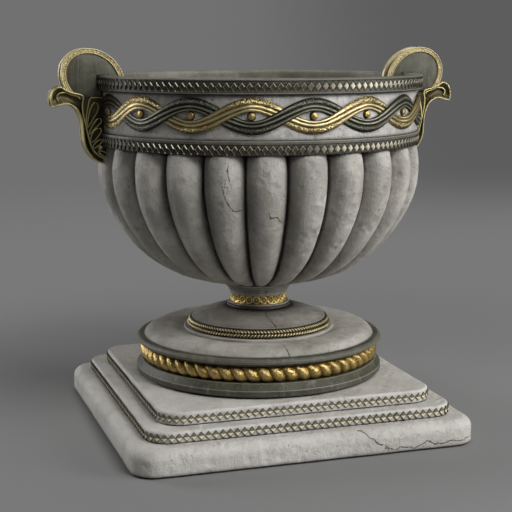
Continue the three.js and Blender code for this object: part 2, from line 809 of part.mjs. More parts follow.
/** A flat outline in X and Z given a thickness in Y, centred on a given Y. */
function plate(shape, thickness, centreY, curveSegments) {
  return new THREE.ExtrudeGeometry(shape, { depth: thickness, bevelEnabled: false, curveSegments })
    .rotateX(Math.PI / 2)
    .translate(0, centreY + thickness / 2, 0);
}

/** The arm's side outline, from its seat on the frieze along the lip and down to its foot. */
function armOutline() {
  const armHeight = armTopZ - armFootZ;
  const at = (outShare, fallShare) => new THREE.Vector2(
    friezeRadius + armReach * outShare,
    armTopZ - armHeight * fallShare,
  );
  const lipStartX = friezeRadius + armReach * 0.7;
  const lipTip = at(0.959, 0.147);
  const lip = new THREE.SplineCurve([
    new THREE.Vector2(lipStartX, armEdge(lipStartX)),
    at(0.78, -0.142), at(0.855, -0.176), at(0.94, -0.145), at(1, -0.026), lipTip,
  ]).getPoints(9);
  const under = new THREE.SplineCurve([
    lipTip, at(0.797, 0.094), at(0.615, 0.119), at(0.483, 0.248), at(0.423, 0.432),
    at(0.414, 0.672), at(0.326, 0.859), at(0.167, 0.977), at(-0.053, 1),
  ]).getPoints(14);
  return new THREE.Shape([
    new THREE.Vector2(friezeRadius - armBury, armTopZ),
    new THREE.Vector2(armShoulderX, armTopZ),
    ...lip,
    ...under.slice(1),
    new THREE.Vector2(friezeRadius - armBury, at(0, 0.93).y),
  ]);
}

/** The outside of the vase where the arms meet it, a gap clear of every piece. */
function seatCutter() {
  const levels = bodyLevels();
  const bandClear = lowerStripRadius + gap;
  const strandsBottom = friezeMiddle - strandAmplitude - strandWidth / 2 - gap;
  return turned([
    [0, levels[0].z],
    ...levels.map(({ radius, z }) => [radius + gap, z]),
    [bandClear, bowlTop],
    [bandClear, bandTop + gap],
    [friezeRadius + gap, bandTop + gap],
    [friezeRadius + gap, strandsBottom],
    [strandClearRadius(), strandsBottom],
    [strandClearRadius(), friezeTop],
    [0, friezeTop],
  ], largeFacets);
}

function buildHandle(side, turn) {
  const handle = new THREE.Group();
  handle.rotation.z = turn;
  vase.add(handle);
  const holeRadius = pinRadius + gap;
  const holeLength = 2 * (pinHalfLength + gap);
  const pinHole = new THREE.CylinderGeometry(holeRadius, holeRadius, holeLength, rodFacets)
    .rotateX(Math.PI / 2)
    .translate(pinX, 0, armTopZ);
  const boltHoles = boltPlaces().map((place) => boltCutters(place)[0]);
  const arm = plate(armOutline(), handleThickness, 0);
  addPiece(handle, `${side}_handle_arm`, cut(arm, [seatCutter(), pinHole, ...boltHoles]), darkBronze);
  const webThickness = handleThickness - 2 * drumRimDepth;
  const web = plate(drumOutline(drumEdgeInset), webThickness, 0);
  const boss = plate(drumOutline(drumRimWidth + gap), handleThickness - 2 * drumFaceInset, 0);
  const drum = toGeometry(toSolid(web).add(toSolid(boss)).subtract(toSolid(pinHole)));
  addPiece(handle, `${side}_handle_drum`, drum, darkStone);
  const rimShape = new THREE.Shape([...drumArc(0), ...drumArc(drumRimWidth).reverse()]);
  const rimOffset = (webThickness / 2 + gap + drumRimDepth / 2) * Math.cos(turn);
  addPiece(handle, `${side}_handle_front_rim`, plate(rimShape, drumRimDepth, -rimOffset), gilt);
  addPiece(handle, `${side}_handle_back_rim`, plate(rimShape, drumRimDepth, rimOffset), gilt);
  const pin = new THREE.CylinderGeometry(pinRadius, pinRadius, 2 * pinHalfLength, rodFacets)
    .rotateX(Math.PI / 2)
    .translate(pinX, 0, armTopZ);
  addPiece(handle, `${side}_handle_pin`, pin, steel);
  boltPlaces().forEach(({ name, z, seat, face }) => {
    const bolt = boltGeometry(face + boltReach - seat).translate(seat, 0, z);
    addPiece(handle, `${side}_handle_${name}_bolt`, bolt, steel);
  });
}

buildPlinth();
buildFoot();
buildStem();
buildBowl();
buildBands();
buildInterlace();
buildTieRod();
buildHandle('right', 0);
buildHandle('left', Math.PI);

export default vase;
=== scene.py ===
"""A two-handled stone vase with gilt mounts, on a turned foot and a stepped square plinth.

Sizes are in millimetres, heights are measured from the ground, the handles lie along X and the
front faces -Y. An angle of 0 is the front and grows towards +X.
"""

import logging
import math
from collections.abc import Callable, Sequence
from dataclasses import dataclass, replace
from enum import Enum
from functools import cache
from typing import NamedTuple

import bpy
import numpy as np
from mathutils import Matrix, Vector


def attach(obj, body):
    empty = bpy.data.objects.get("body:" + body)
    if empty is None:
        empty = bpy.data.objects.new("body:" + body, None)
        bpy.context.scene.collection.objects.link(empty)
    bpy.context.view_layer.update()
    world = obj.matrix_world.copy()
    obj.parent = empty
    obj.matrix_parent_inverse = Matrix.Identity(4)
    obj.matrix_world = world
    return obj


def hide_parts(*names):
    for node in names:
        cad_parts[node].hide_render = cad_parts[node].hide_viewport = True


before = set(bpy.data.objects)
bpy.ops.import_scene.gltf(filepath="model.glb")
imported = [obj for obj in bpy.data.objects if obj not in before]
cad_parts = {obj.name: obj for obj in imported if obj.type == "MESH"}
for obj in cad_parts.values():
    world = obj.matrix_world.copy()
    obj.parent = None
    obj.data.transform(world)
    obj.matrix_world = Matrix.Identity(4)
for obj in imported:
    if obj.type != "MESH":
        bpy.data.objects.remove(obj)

LOG = logging.getLogger("stone_vase")
MM = 0.001
BODY = "root"
TURN = 2 * math.pi

# Sizes that several assemblies share
BORE = 6.5
PLINTH_TOP = 61.9
CAP_TOP = 143.3
FILLET_RADIUS = 40.0
STEM_BASE_TOP = 149.6
COLLAR_TOP = 160.4
SPIGOT_RADIUS = 31.0
RIM_TOP = 433.74

Array = np.ndarray
Piece = bpy.types.Object
Material = bpy.types.Material
Socket = bpy.types.NodeSocket
Colour = tuple[float, float, float]
Outline = Sequence[tuple[float, float]]
Place = tuple[float, float, float]
Crack = tuple[Place, ...]


class Layer(Enum):
    """Values that a mesh carries at its points or faces, and that the finishes read."""

    # Dirt, and painted shade in hollows, under things and where parts meet.
    DIRT_AND_SHADE = "dirt_and_shade"
    # Wear, and painted highlights on outward edges and crowns.
    EDGE = "edge"
    GRAIN = "grain"
    TONE = "tone"
    CRACK_SIDE = "crack_side"
    CRACK_NEAR = "crack_near"


class Side(Enum):
    """The two sides of the vase that carry a handle, with the turn that takes the handle there."""

    RIGHT = 0.0
    LEFT = math.pi


class GrimeAndShade(NamedTuple):
    """Dirt and painted shade that gather at a height and fade over a reach, from a radius outwards."""

    height: float
    reach: float
    inner_radius: float = 0.0


# Curves and outlines


def evenly(line: Array, count: int) -> Array:
    """Steps along a line at even lengths.

    Args:
        line: Points of the line, one row each.
        count: How many points to return.

    Returns:
        The points, found by linear interpolation over the length run so far.
    """
    steps = np.linalg.norm(np.diff(line, axis=0), axis=1)
    length = np.concatenate([[0.0], np.cumsum(steps)])
    at = np.linspace(0.0, length[-1], count)
    return np.stack([np.interp(at, length, line[:, k]) for k in range(line.shape[1])], axis=-1)


def smooth_curve(points: Outline | Array, count: int) -> Array:
    """Draws a Catmull-Rom curve through points.

    On each span the curve is the cubic whose slope at either end is half the step between the
    neighbouring points.

    Args:
        points: Points that the curve passes through.
        count: How many points to return, at even lengths.

    Returns:
        The points of the curve.
    """
    control = np.asarray(points, float)
    before = 2 * control[:1] - control[1:2]
    after = 2 * control[-1:] - control[-2:-1]
    padded = np.concatenate([before, control, after])
    spans = len(control) - 1
    place = np.linspace(0, spans, spans * 24 + 1)
    index = np.minimum(place.astype(int), spans - 1)
    t = (place - index)[:, None]
    p0, p1, p2, p3 = (padded[index + k] for k in range(4))
    linear = (p2 - p0) * t
    square = (2 * p0 - 5 * p1 + 4 * p2 - p3) * t**2
    cube = (3 * p1 - p0 - 3 * p2 + p3) * t**3
    return evenly(0.5 * (2 * p1 + linear + square + cube), count)


def rounded(corners: Sequence[tuple[float, float, float]], steps: int = 5) -> Array:
    """Rounds the corners of a closed outline.

    Each corner becomes the parabola that leaves one side and joins the next at the given
    distance from the corner.

    Args:
        corners: Across, up and the distance that the rounding takes from each side.
        steps: Points on each rounded corner.

    Returns:
        The outline's points.
    """
    places = np.array([corner[:2] for corner in corners])
    pieces = []
    for index, (across, up, radius) in enumerate(corners):
        corner = np.array([across, up])
        if radius <= 0:
            pieces.append(corner[None, :])
            continue
        back = places[index - 1] - corner
        ahead = places[(index + 1) % len(places)] - corner
        start = corner + back / np.linalg.norm(back) * radius
        end = corner + ahead / np.linalg.norm(ahead) * radius
        t = np.linspace(0, 1, steps)[:, None]
        pieces.append((1 - t) ** 2 * start + 2 * t * (1 - t) * corner + t**2 * end)
    return np.concatenate(pieces)


def densified(outline: Array, spacing: float) -> Array:
    """Adds points to a closed outline so that no step is longer than the spacing.

    Args:
        outline: The outline's corners, one row each.
        spacing: The longest step allowed.

    Returns:
        The outline with its long sides divided evenly.
    """
    sides = np.roll(outline, -1, axis=0) - outline
    counts = np.maximum(1, np.ceil(np.linalg.norm(sides, axis=1) / spacing)).astype(int)
    first = np.repeat(np.cumsum(counts) - counts, counts)
    share = (np.arange(counts.sum()) - first) / np.repeat(counts, counts)
    return np.repeat(outline, counts, axis=0) + np.repeat(sides, counts, axis=0) * share[:, None]


def turning(outline: Array) -> Array:
    """How sharply a closed outline turns at each point, in radians per millimetre, outwards above 0."""
    ahead = np.roll(outline, -1, axis=0) - outline
    behind = outline - np.roll(outline, 1, axis=0)
    cross = behind[:, 0] * ahead[:, 1] - behind[:, 1] * ahead[:, 0]
    turn = np.arctan2(cross, (ahead * behind).sum(axis=1))
    span = (np.linalg.norm(ahead, axis=1) + np.linalg.norm(behind, axis=1)) / 2
    return turn / np.maximum(span, 1e-6)


def unit(vectors: Array) -> Array:
    """Vectors, one row each, divided by their lengths."""
    return vectors / np.linalg.norm(vectors, axis=1, keepdims=True)


def standing(flat: Array, y: float | Array) -> Array:
    """Places from their X and Z and from one Y, or one for each."""
    return np.stack(np.broadcast_arrays(flat[..., 0], y, flat[..., 1]), axis=-1)


def between_lines(first: Array, second: Array, share: Array) -> Array:
    """A grid between two lines of points, at shares of the way from the first to the second."""
    return first[:, None, :] + (second - first)[:, None, :] * share[None, :, None]


def both_faces(flat: Array, face: float | Array) -> Array:
    """A grid of X and Z, set at a distance before the plane of Y 0 and again behind it."""
    return np.concatenate([standing(flat, -face), standing(flat, face)[:, ::-1]], axis=1)


def around(radius: float | Array, height: float | Array, angle: Array) -> Array:
    """Points at a distance from the vase's axis, at a height and at an angle from the front."""
    radius, height, angle = np.broadcast_arrays(radius, height, angle)
    return np.stack([radius * np.sin(angle), -radius * np.cos(angle), height], axis=-1)


def round_angles(count: int) -> Array:
    """Even angles once round, as a row."""
    return np.linspace(0, TURN, count, endpoint=False)[None, :]


def ripple(points: Array, wavelength: float, seed: int) -> Array:
    """Smooth unevenness from about -1 to 1.

    It is the mean of sine waves of about one length that run in random directions.

    Args:
        points: Places, with X, Y and Z last.
        wavelength: The waves' mean length.
        seed: Picks the directions.

    Returns:
        One value for each place.
    """
    waves = 14
    rng = np.random.default_rng(seed)
    direction = unit(rng.normal(size=(waves, 3)))
    scale = TURN / (wavelength * rng.uniform(0.6, 1.5, waves))
    phase = rng.uniform(0, TURN, waves)
    return 2.2 * np.sin(points @ direction.T * scale + phase).mean(axis=-1)


def smoothstep(value: Array, low: float | Array, high: float) -> Array:
    """An even rise from 0 at low to 1 at high, level at both ends."""
    share = np.clip((value - low) / (high - low), 0, 1)
    return share * share * (3 - 2 * share)


def round_fall(distance: Array) -> Array:
    """How far a unit circle has fallen at a distance from its top."""
    return 1 - np.sqrt(np.maximum(1 - distance**2, 0))


# Meshes


def solid(
    name: str,
    vertices: Array,
    polygons: list[list[int]],
    layers: dict[Layer, Array] | None = None,
    face_layers: dict[Layer, Array] | None = None,
    crease: float = 38,
) -> Piece:
    """Makes an object from a closed skin, with its faces turned outwards.

    The sum of the tetrahedra between the origin and the faces is the enclosed volume. Where it
    comes out negative, the faces look inwards, and each is reversed.

    Args:
        name: The object's name.
        vertices: Places in millimetres, one row each.
        polygons: The faces, as lists of places in the order of their corners.
        layers: Values at the vertices.
        face_layers: Values on the faces.
        crease: Edges that bend by more degrees than this stay sharp.

    Returns:
        The object, at the origin.
    """
    mesh = bpy.data.meshes.new(name)
    mesh.from_pydata((vertices * MM).tolist(), [], polygons)
    mesh.calc_loop_triangles()
    corners = np.zeros(len(mesh.loop_triangles) * 3, np.int32)
    mesh.loop_triangles.foreach_get("vertices", corners)
    a, b, c = np.moveaxis(vertices[corners.reshape(-1, 3)], 1, 0)
    if np.einsum("ij,ij->i", a, np.cross(b, c)).sum() < 0:
        mesh.flip_normals()
    for domain, group in (("POINT", layers or {}), ("FACE", face_layers or {})):
        for layer, values in group.items():
            store = mesh.attributes.new(layer.value, "FLOAT", domain)
            store.data.foreach_set("value", np.ascontiguousarray(values, np.float32).ravel())
    mesh.shade_smooth()
    mesh.set_sharp_from_angle(angle=math.radians(crease))
    mesh.update()
    piece = bpy.data.objects.new(name, mesh)
    bpy.context.scene.collection.objects.link(piece)
    return piece


def surface(
    name: str,
    grid: Array,
    loop_rows: bool = False,
    layers: dict[Layer, Array] | None = None,
    crease: float = 38,
) -> Piece:
    """Makes an object from a grid of points whose every row is a closed ring.

    Args:
        name: The object's name.
        grid: Places in millimetres, by row, column and axis.
        loop_rows: Joins the last row to the first. Otherwise one face closes each end.
        layers: Values for each row and column, or for each row.
        crease: Edges that bend by more degrees than this stay sharp.

    Returns:
        The object.
    """
    rows, columns = grid.shape[:2]
    row = np.arange(rows if loop_rows else rows - 1)[:, None]
    column = np.arange(columns)[None, :]
    above = (row + 1) % rows
    beside = (column + 1) % columns
    low, high = row * columns, above * columns
    corners = (low + column, low + beside, high + beside, high + column)
    polygons = np.stack(corners, axis=-1).reshape(-1, 4).tolist()
    if not loop_rows:
        polygons.append(list(range(columns))[::-1])
        polygons.append(list(range((rows - 1) * columns, rows * columns)))
    spread = {
        layer: np.broadcast_to(values if values.ndim == 2 else values[:, None], (rows, columns))
        for layer, values in (layers or {}).items()
    }
    return solid(name, grid.reshape(-1, 3), polygons, spread, crease=crease)


def backed(
    face: Array, back: Array, layers: dict[Layer, Array], axis: int = 0
) -> tuple[Array, dict[Layer, Array]]:
    """Adds a hidden back to a face: painted fully dark, as dirt and shade, and without wear or grain.

    Args:
        face: The face's places, by row, column and axis.
        back: The back's places.
        layers: Values on the face, for each row and column.
        axis: 0 adds the back as rows, 1 as columns.

    Returns:
        The places and the values of both.
    """
    hidden = {layer: np.full(back.shape[:2], float(layer is Layer.DIRT_AND_SHADE)) for layer in layers}
    both = {
        layer: np.concatenate([np.broadcast_to(values, face.shape[:2]), hidden[layer]], axis=axis)
        for layer, values in layers.items()
    }
    return np.concatenate([face, back], axis=axis), both


def crack_layers(grid: Array, cracks: Sequence[Crack], outward: Place | Array) -> dict[Layer, Array]:
    """Where the cracks run through a surface.

    For each stretch of each crack, the nearest place on it is the foot of the perpendicular, held
    between the stretch's ends. The side is the sign of the triple product of the stretch, the
    way outwards and the way to the point. Past a crack's ends its nearness fades.

    Args:
        grid: Places in millimetres, by row, column and axis.
        cracks: Points of each crack.
        outward: The way out of the surface.

    Returns:
        The distance to one side of the nearest crack, and its nearness.
    """
    far_off, near_by, tip_start, tip_end = 8.0, 4.0, 4.5, 0.4
    outward = np.broadcast_to(outward, grid.shape)
    away = np.full(grid.shape[:2], 1e3)
    side = np.ones(grid.shape[:2])
    near = np.zeros(grid.shape[:2])
    for crack in map(np.array, cracks):
        for start, end in zip(crack[:-1], crack[1:]):
            stretch = end - start
            share = ((grid - start) @ stretch) / (stretch @ stretch)
            offset = grid - start - np.clip(share, 0, 1)[..., None] * stretch
            distance = np.linalg.norm(offset, axis=-1)
            closer = distance < away
            sideways = np.cross(np.broadcast_to(stretch, grid.shape), outward)
            facing = np.einsum("...i,...i->...", sideways, offset)
            away = np.where(closer, distance, away)
            side = np.where(closer, np.where(facing < 0, -1.0, 1.0), side)
            near = np.where(closer, smoothstep(distance, far_off, near_by), near)
        for tip in (crack[0], crack[-1]):
            near = near * smoothstep(np.linalg.norm(grid - tip, axis=-1), tip_end, tip_start)
    return {Layer.CRACK_SIDE: side * away, Layer.CRACK_NEAR: near}


def outline_layers(outline: Array, grime_and_shade: Sequence[GrimeAndShade] = ()) -> dict[Layer, Array]:
    """Wear and painted highlights on an outline's outward corners, and dirt and painted shade in its inward
    ones and near given heights.

    Args:
        outline: Distance from the axis and height, one row each.
        grime_and_shade: Where dirt and painted shade gather.

    Returns:
        The wear and highlight, and the dirt and shade, at each point of the outline.
    """
    turn = turning(outline)
    dirt_and_shade = np.clip(-1.6 * turn, 0, 1)
    for spot in grime_and_shade:
        gathered_dirt_and_shade = np.exp(-np.abs(outline[:, 1] - spot.height) / spot.reach)
        dirt_and_shade = np.maximum(dirt_and_shade, gathered_dirt_and_shade * (outline[:, 0] >= spot.inner_radius))
    return {Layer.EDGE: np.clip(1.1 * turn, 0, 1), Layer.DIRT_AND_SHADE: dirt_and_shade}


def turned(
    name: str,
    outline: Array,
    segments: int = 240,
    grime_and_shade: Sequence[GrimeAndShade] = (),
    uneven: float = 0.0,
    cracks: Sequence[Crack] = (),
) -> Piece:
    """Turns a closed outline about the vase's axis.

    Args:
        name: The object's name.
        outline: Distance from the axis and height, anticlockwise, one row each.
        segments: Steps round the axis.
        grime_and_shade: Where dirt and painted shade gather.
        uneven: How far the hand-cut surface wanders from the true one.
        cracks: Points of each crack in the upper side.

    Returns:
        The object.
    """
    outline = densified(outline, 4.0)
    angle = round_angles(segments)
    grid = around(outline[:, :1], outline[:, 1:], angle)
    if uneven:
        grid = grid + uneven * (ripple(grid, 46, 5) - 0.6)[..., None] * around(1.0, 0.0, angle)
    layers = outline_layers(outline, grime_and_shade)
    if cracks:
        layers |= crack_layers(grid, cracks, (0.0, 0.0, 1.0))
    return surface(name, grid, loop_rows=True, layers=layers)


def bead_line(name: str, path: Array, radius: float, brightening: float, sides: int = 8) -> Piece:
    """Carries a circle along a path that lies in a plane of constant Y.

    A point of the circle leaves the path by its radius, by the cosine of its angle along the
    path's own normal and by the sine along Y.

    Args:
        name: The object's name.
        path: X, Y and Z of the path's points.
        radius: The circle's radius.
        brightening: How much wear and painted highlight the line carries.
        sides: Corners of the circle.

    Returns:
        The object.
    """
    along = unit(np.gradient(path, axis=0))
    across = np.stack([-along[:, 2], np.zeros(len(path)), along[:, 0]], axis=-1)
    angle = round_angles(sides)[..., None]
    sideways, outwards = np.cos(angle) * across[:, None, :], np.sin(angle) * (0.0, 1.0, 0.0)
    grid = path[:, None, :] + radius * (sideways + outwards)
    return surface(name, grid, layers={Layer.EDGE: np.full(len(path), brightening)}, crease=70)


def joined(name: str, pieces: Sequence[Piece]) -> Piece:
    """Joins meshes into one object, which keeps their layers and materials.

    Args:
        name: The joined object's name.
        pieces: Objects at the origin. All but the first are used up.

    Returns:
        The joined object.
    """
    with bpy.context.temp_override(active_object=pieces[0], selected_editable_objects=list(pieces)):
        bpy.ops.object.join()
    pieces[0].name = name
    pieces[0].data.name = name
    return pieces[0]


# Shaders


class Value:
    """A number in a shader. Arithmetic on it adds Math nodes."""

    def __init__(self, shader: "Shader", socket: Socket) -> None:
        """Wraps an output socket of a shader."""
        self.shader = shader
        self.socket = socket

    def __add__(self, other: "Value | float") -> "Value":
        """The sum."""
        return self.shader.maths("ADD", self, other)

    def __sub__(self, other: "Value | float") -> "Value":
        """The difference."""
        return self.shader.maths("SUBTRACT", self, other)

    def __rsub__(self, other: float) -> "Value":
        """A number less this value."""
        return self.shader.maths("SUBTRACT", other, self)

    def __mul__(self, other: "Value | float") -> "Value":
        """The product."""
        return self.shader.maths("MULTIPLY", self, other)

    def larger(self, other: "Value | float") -> "Value":
        """The larger of two values."""
        return self.shader.maths("MAXIMUM", self, other)

    def clamped(self) -> "Value":
        """The value held between 0 and 1."""
        return self.shader.maths("MINIMUM", self.shader.maths("MAXIMUM", self, 0.0), 1.0)

    def between(self, low: float, high: float) -> "Value":
        """A smooth step from 0 at low to 1 at high; low may be the larger."""
        settings = {"interpolation_type": "SMOOTHSTEP"}
        inputs = {"Value": self, "From Min": low, "From Max": high}
        node = self.shader.node("ShaderNodeMapRange", settings, inputs)
        return Value(self.shader, node.outputs["Result"])


class Shader:
    """A material under construction, with one Principled surface."""

    def __init__(self, name: str) -> None:
        """Starts a material that has only its surface and output."""
        self.material = bpy.data.materials.new(name)
        self.material.use_nodes = True
        self.tree = self.material.node_tree
        self.tree.nodes.clear()
        output = self.tree.nodes.new("ShaderNodeOutputMaterial")
        self.surface = self.tree.nodes.new("ShaderNodeBsdfPrincipled")
        self.tree.links.new(self.surface.outputs["BSDF"], output.inputs["Surface"])

    def node(
        self, kind: str, settings: dict[str, object], inputs: dict[str | int, object]
    ) -> bpy.types.Node:
        """Adds a node.

        Args:
            kind: The node's type.
            settings: Attributes of the node, set first.
            inputs: Values or links for its sockets, by name or number.

        Returns:
            The node.
        """
        node = self.tree.nodes.new(kind)
        for key, setting in settings.items():
            setattr(node, key, setting)
        for key, value in inputs.items():
            self.feed(node.inputs[key], value)
        return node

    def feed(self, socket: Socket, value: object) -> None:
        """Links a socket to a value or another socket, or sets it to a constant."""
        if isinstance(value, Value):
            self.tree.links.new(value.socket, socket)
        elif isinstance(value, Socket):
            self.tree.links.new(value, socket)
        elif isinstance(value, tuple) and len(value) == 3 and socket.type == "RGBA":
            socket.default_value = (*value, 1.0)
        else:
            socket.default_value = value

    def maths(self, operation: str, first: "Value | float", second: "Value | float") -> Value:
        """Adds a Math node on one or two numbers."""
        node = self.node("ShaderNodeMath", {"operation": operation}, {0: first, 1: second})
        return Value(self, node.outputs[0])

    def place(self, stretch: tuple[float, float, float] = (1, 1, 1)) -> Socket:
        """The place on the object in metres, with each axis multiplied by its stretch."""
        place = self.node("ShaderNodeTexCoord", {}, {}).outputs["Object"]
        node = self.node("ShaderNodeVectorMath", {"operation": "MULTIPLY"}, {0: place, 1: stretch})
        return node.outputs[0]

    def noise(
        self, place: Socket, scale: float, detail: float = 5, rough: float = 0.55
    ) -> Value:
        """Cloudy noise about 0.5."""
        inputs = {"Vector": place, "Scale": scale, "Detail": detail, "Roughness": rough}
        return Value(self, self.node("ShaderNodeTexNoise", {}, inputs).outputs["Fac"])

    def cells(self, place: Socket, scale: float) -> Value:
        """The distance from the middle of the nearest of many scattered grains."""
        inputs = {"Vector": place, "Scale": scale, "Randomness": 1.0}
        return Value(self, self.node("ShaderNodeTexVoronoi", {}, inputs).outputs["Distance"])

    def layer(self, layer: Layer) -> Value:
        """A value that the mesh carries."""
        node = self.node("ShaderNodeAttribute", {"attribute_name": layer.value}, {})
        return Value(self, node.outputs["Fac"])

    def mix(self, share: Value | float, first: object, second: object) -> Socket:
        """A colour between two colours."""
        node = self.node("ShaderNodeMix", {"data_type": "RGBA"}, {0: share, 6: first, 7: second})
        return node.outputs[2]

    def coated(self, ground: object, *coats: tuple[Value, Colour]) -> Socket:
        """A ground colour under coats, each with its share and its colour."""
        for share, coat in coats:
            ground = self.mix(share, ground, coat)
        return ground

    def finish(
        self,
        colour: object,
        roughness: Value | float,
        metal: Value | float = 0.0,
        height: Value | None = None,
        relief: float = 0.5,
    ) -> Material:
        """Sets the surface.

        Args:
            colour: The base colour.
            roughness: From 0 for a mirror to 1 for chalk.
            metal: From 0 for stone to 1 for metal.
            height: The relief's height, about 0 to 1, or none.
            relief: The relief's depth in millimetres.

        Returns:
            The material.
        """
        self.feed(self.surface.inputs["Base Color"], colour)
        self.feed(self.surface.inputs["Roughness"], roughness)
        self.feed(self.surface.inputs["Metallic"], metal)
        if height is not None:
            bump = self.node("ShaderNodeBump", {}, {"Distance": relief * MM, "Height": height})
            self.feed(self.surface.inputs["Normal"], bump.outputs["Normal"])
        return self.material


@dataclass(frozen=True)
class PaleStone:
    """Honed warm-grey stone: mottled, stained, pitted and cracked, with soil and painted shade in its
    grooves, a painted contact shadow and painted highlights on its edges.
    """

    slot: str = "pale_stone"
    name: str = "bowl_stone"
    light: Colour = (0.64, 0.61, 0.56)
    grey: Colour = (0.43, 0.41, 0.37)
    stain: Colour = (0.25, 0.225, 0.17)
    soil_and_shade: Colour = (0.045, 0.039, 0.027)
    contact_shadow: Colour = (0.008, 0.007, 0.005)
    worn_and_highlight: Colour = (0.70, 0.68, 0.63)
    stained: float = 0.5
    roughness: float = 0.62
    relief: float = 3.8

    def make(self) -> Material:
        """Builds the material."""
        shader = Shader(self.name)
        place = shader.place()
        dirt_and_shade = shader.layer(Layer.DIRT_AND_SHADE)
        edge = shader.layer(Layer.EDGE)
        # Patterns of the stone, from the largest to the finest
        clouds = shader.noise(place, 13, 6, 0.62)
        veil = shader.noise(shader.place((24, 24, 13)), 1, 8, 0.68)
        lumps = shader.noise(place, 62, 7, 0.66)
        dents = shader.cells(place, 62).between(0.42, 0.05)
        chisel = shader.noise(shader.place((170, 170, 34)), 1, 4, 0.6)
        grit = shader.noise(place, 240, 7, 0.72)
        # Holes, and the cracks that the mesh marks, which wander to both sides of their lines
        pocked = shader.noise(place, 34, 3).between(0.54, 0.66)
        pits = shader.cells(place, 210).between(0.2, 0.08) * pocked
        pores = shader.cells(place, 420).between(0.3, 0.12) * lumps.between(0.48, 0.62)
        bends = (shader.noise(place, 120, 4, 0.7) - 0.5) * 6.0
        kinks = (shader.noise(place, 430, 3, 0.7) - 0.5) * 4.0
        aside = shader.maths("ABSOLUTE", shader.layer(Layer.CRACK_SIDE) + bends + kinks, 0.0)
        crack = aside.between(0.8, 0.2) * shader.layer(Layer.CRACK_NEAR)
        # Colours, from the stone itself to the soil and the painted shade on it
        holes = pits.larger(pores * 0.7) * 0.72
        colour = shader.coated(
            self.light,
            (clouds.between(0.4, 0.64), self.grey),
            (veil.between(0.5, 0.7) * self.stained, self.stain),
            (lumps.between(0.46, 0.66) * 0.4, self.grey),
            (chisel.between(0.54, 0.72) * 0.1, self.stain),
            (grit.between(0.54, 0.74) * 0.32, self.stain),
            # Worn edges, lighter also as a painted highlight.
            (edge * 0.6, self.worn_and_highlight),
            ((dirt_and_shade * (grit * 0.8 + 0.55)).clamped(), self.soil_and_shade),
            (holes.larger(crack * 0.9).clamped(), self.soil_and_shade),
            # Near-black painted contact shadow where the dirt layer is thick.
            (dirt_and_shade.between(0.6, 1.0) * 0.85, self.contact_shadow),
        )
        chips = lumps.between(0.52, 0.56) * 0.1
        height = lumps * 0.75 + chisel * 0.2 + grit * 0.26 - dents * 0.3 - chips
        height = height - pits * 0.3 - pores * 0.2 - crack * 0.5
        return shader.finish(colour, grit * 0.3 + (self.roughness - 0.15), 0.0, height, self.relief)


@dataclass(frozen=True)
class DarkStone:
    """Polished greenish-grey stone, lighter where its edges are worn and painted with a highlight, and
    painted dark as shade in its recesses.
    """

    slot: str = "dark_stone"
    name: str = "dark_stone"
    deep: Colour = (0.075, 0.07, 0.05)
    grey: Colour = (0.15, 0.143, 0.11)
    worn_and_highlight: Colour = (0.33, 0.32, 0.26)
    recess: Colour = (0.006, 0.0055, 0.004)
    streak: tuple[float, float, float] = (130, 130, 40)
    roughness: float = 0.46

    def make(self) -> Material:
        """Builds the material."""
        shader = Shader(self.name)
        place = shader.place()
        clouds = shader.noise(place, 26, 6, 0.66)
        grit = shader.noise(place, 230, 6, 0.7)
        streaks = shader.noise(shader.place(self.streak), 1, 7, 0.7)
        edge = shader.layer(Layer.EDGE)
        dirt_and_shade = shader.layer(Layer.DIRT_AND_SHADE)
        colour = shader.coated(
            self.deep,
            (clouds.between(0.36, 0.66), self.grey),
            (streaks.between(0.5, 0.74) * 0.5, self.worn_and_highlight),
            (grit.between(0.55, 0.75) * 0.45, self.deep),
            # Painted highlights along with the wear on edges, and painted shade in recesses.
            ((edge * (streaks + 0.5)).clamped() * 0.9, self.worn_and_highlight),
            ((dirt_and_shade * 1.3).clamped() * 0.94, self.recess),
        )
        rough = streaks * 0.35 + (self.roughness - 0.17)
        height = streaks * 0.5 + clouds * 0.35 + grit * 0.3
        return shader.finish(colour, rough, 0.0, height, 1.6)


@dataclass(frozen=True)
class Gilding:
    """Antique gilding: granular where it was cast so, with painted glints on its grains and painted
    highlights on its edges, and dark with dirt and painted shade in its recesses.
    """

    slot: str = "gilt"
    name: str = "gilt"
    gold: Colour = (0.64, 0.48, 0.20)
    bright: Colour = (0.90, 0.82, 0.58)
    tarnish: Colour = (0.20, 0.145, 0.045)
    recess: Colour = (0.022, 0.018, 0.008)
    metal: float = 1.0
    roughness: float = 0.42

    def make(self) -> Material:
        """Builds the material."""
        shader = Shader(self.name)
        place = shader.place()
        patches = shader.noise(place, 70, 7, 0.7)
        specks = shader.noise(place, 420, 4, 0.7)
        grain = shader.cells(place, 430)
        grainy = shader.layer(Layer.GRAIN)
        edge = shader.layer(Layer.EDGE)
        dirt_and_shade = shader.layer(Layer.DIRT_AND_SHADE)
        colour = shader.coated(
            self.gold,
            (patches.between(0.44, 0.68) * 0.8, self.tarnish),
            (specks.between(0.52, 0.66) * 0.5, self.tarnish),
            (grain.between(0.3, 0.62) * grainy * 0.85, self.tarnish),
            # Painted glints on the grains and painted highlights on the edges; painted shade in the recesses.
            (grain.between(0.3, 0.1) * grainy * 0.55, self.bright),
            ((edge * (specks * 1.2 + 0.25)).clamped(), self.bright),
            ((dirt_and_shade * (patches * 0.7 + 0.75)).clamped(), self.recess),
        )
        height = patches * 0.35 + specks * 0.25 - grain * (grainy * 0.9 + 0.12)
        rough = patches * 0.3 + (self.roughness - 0.13)
        return shader.finish(colour, rough, self.metal - dirt_and_shade * (self.metal / 2), height, 1.1)


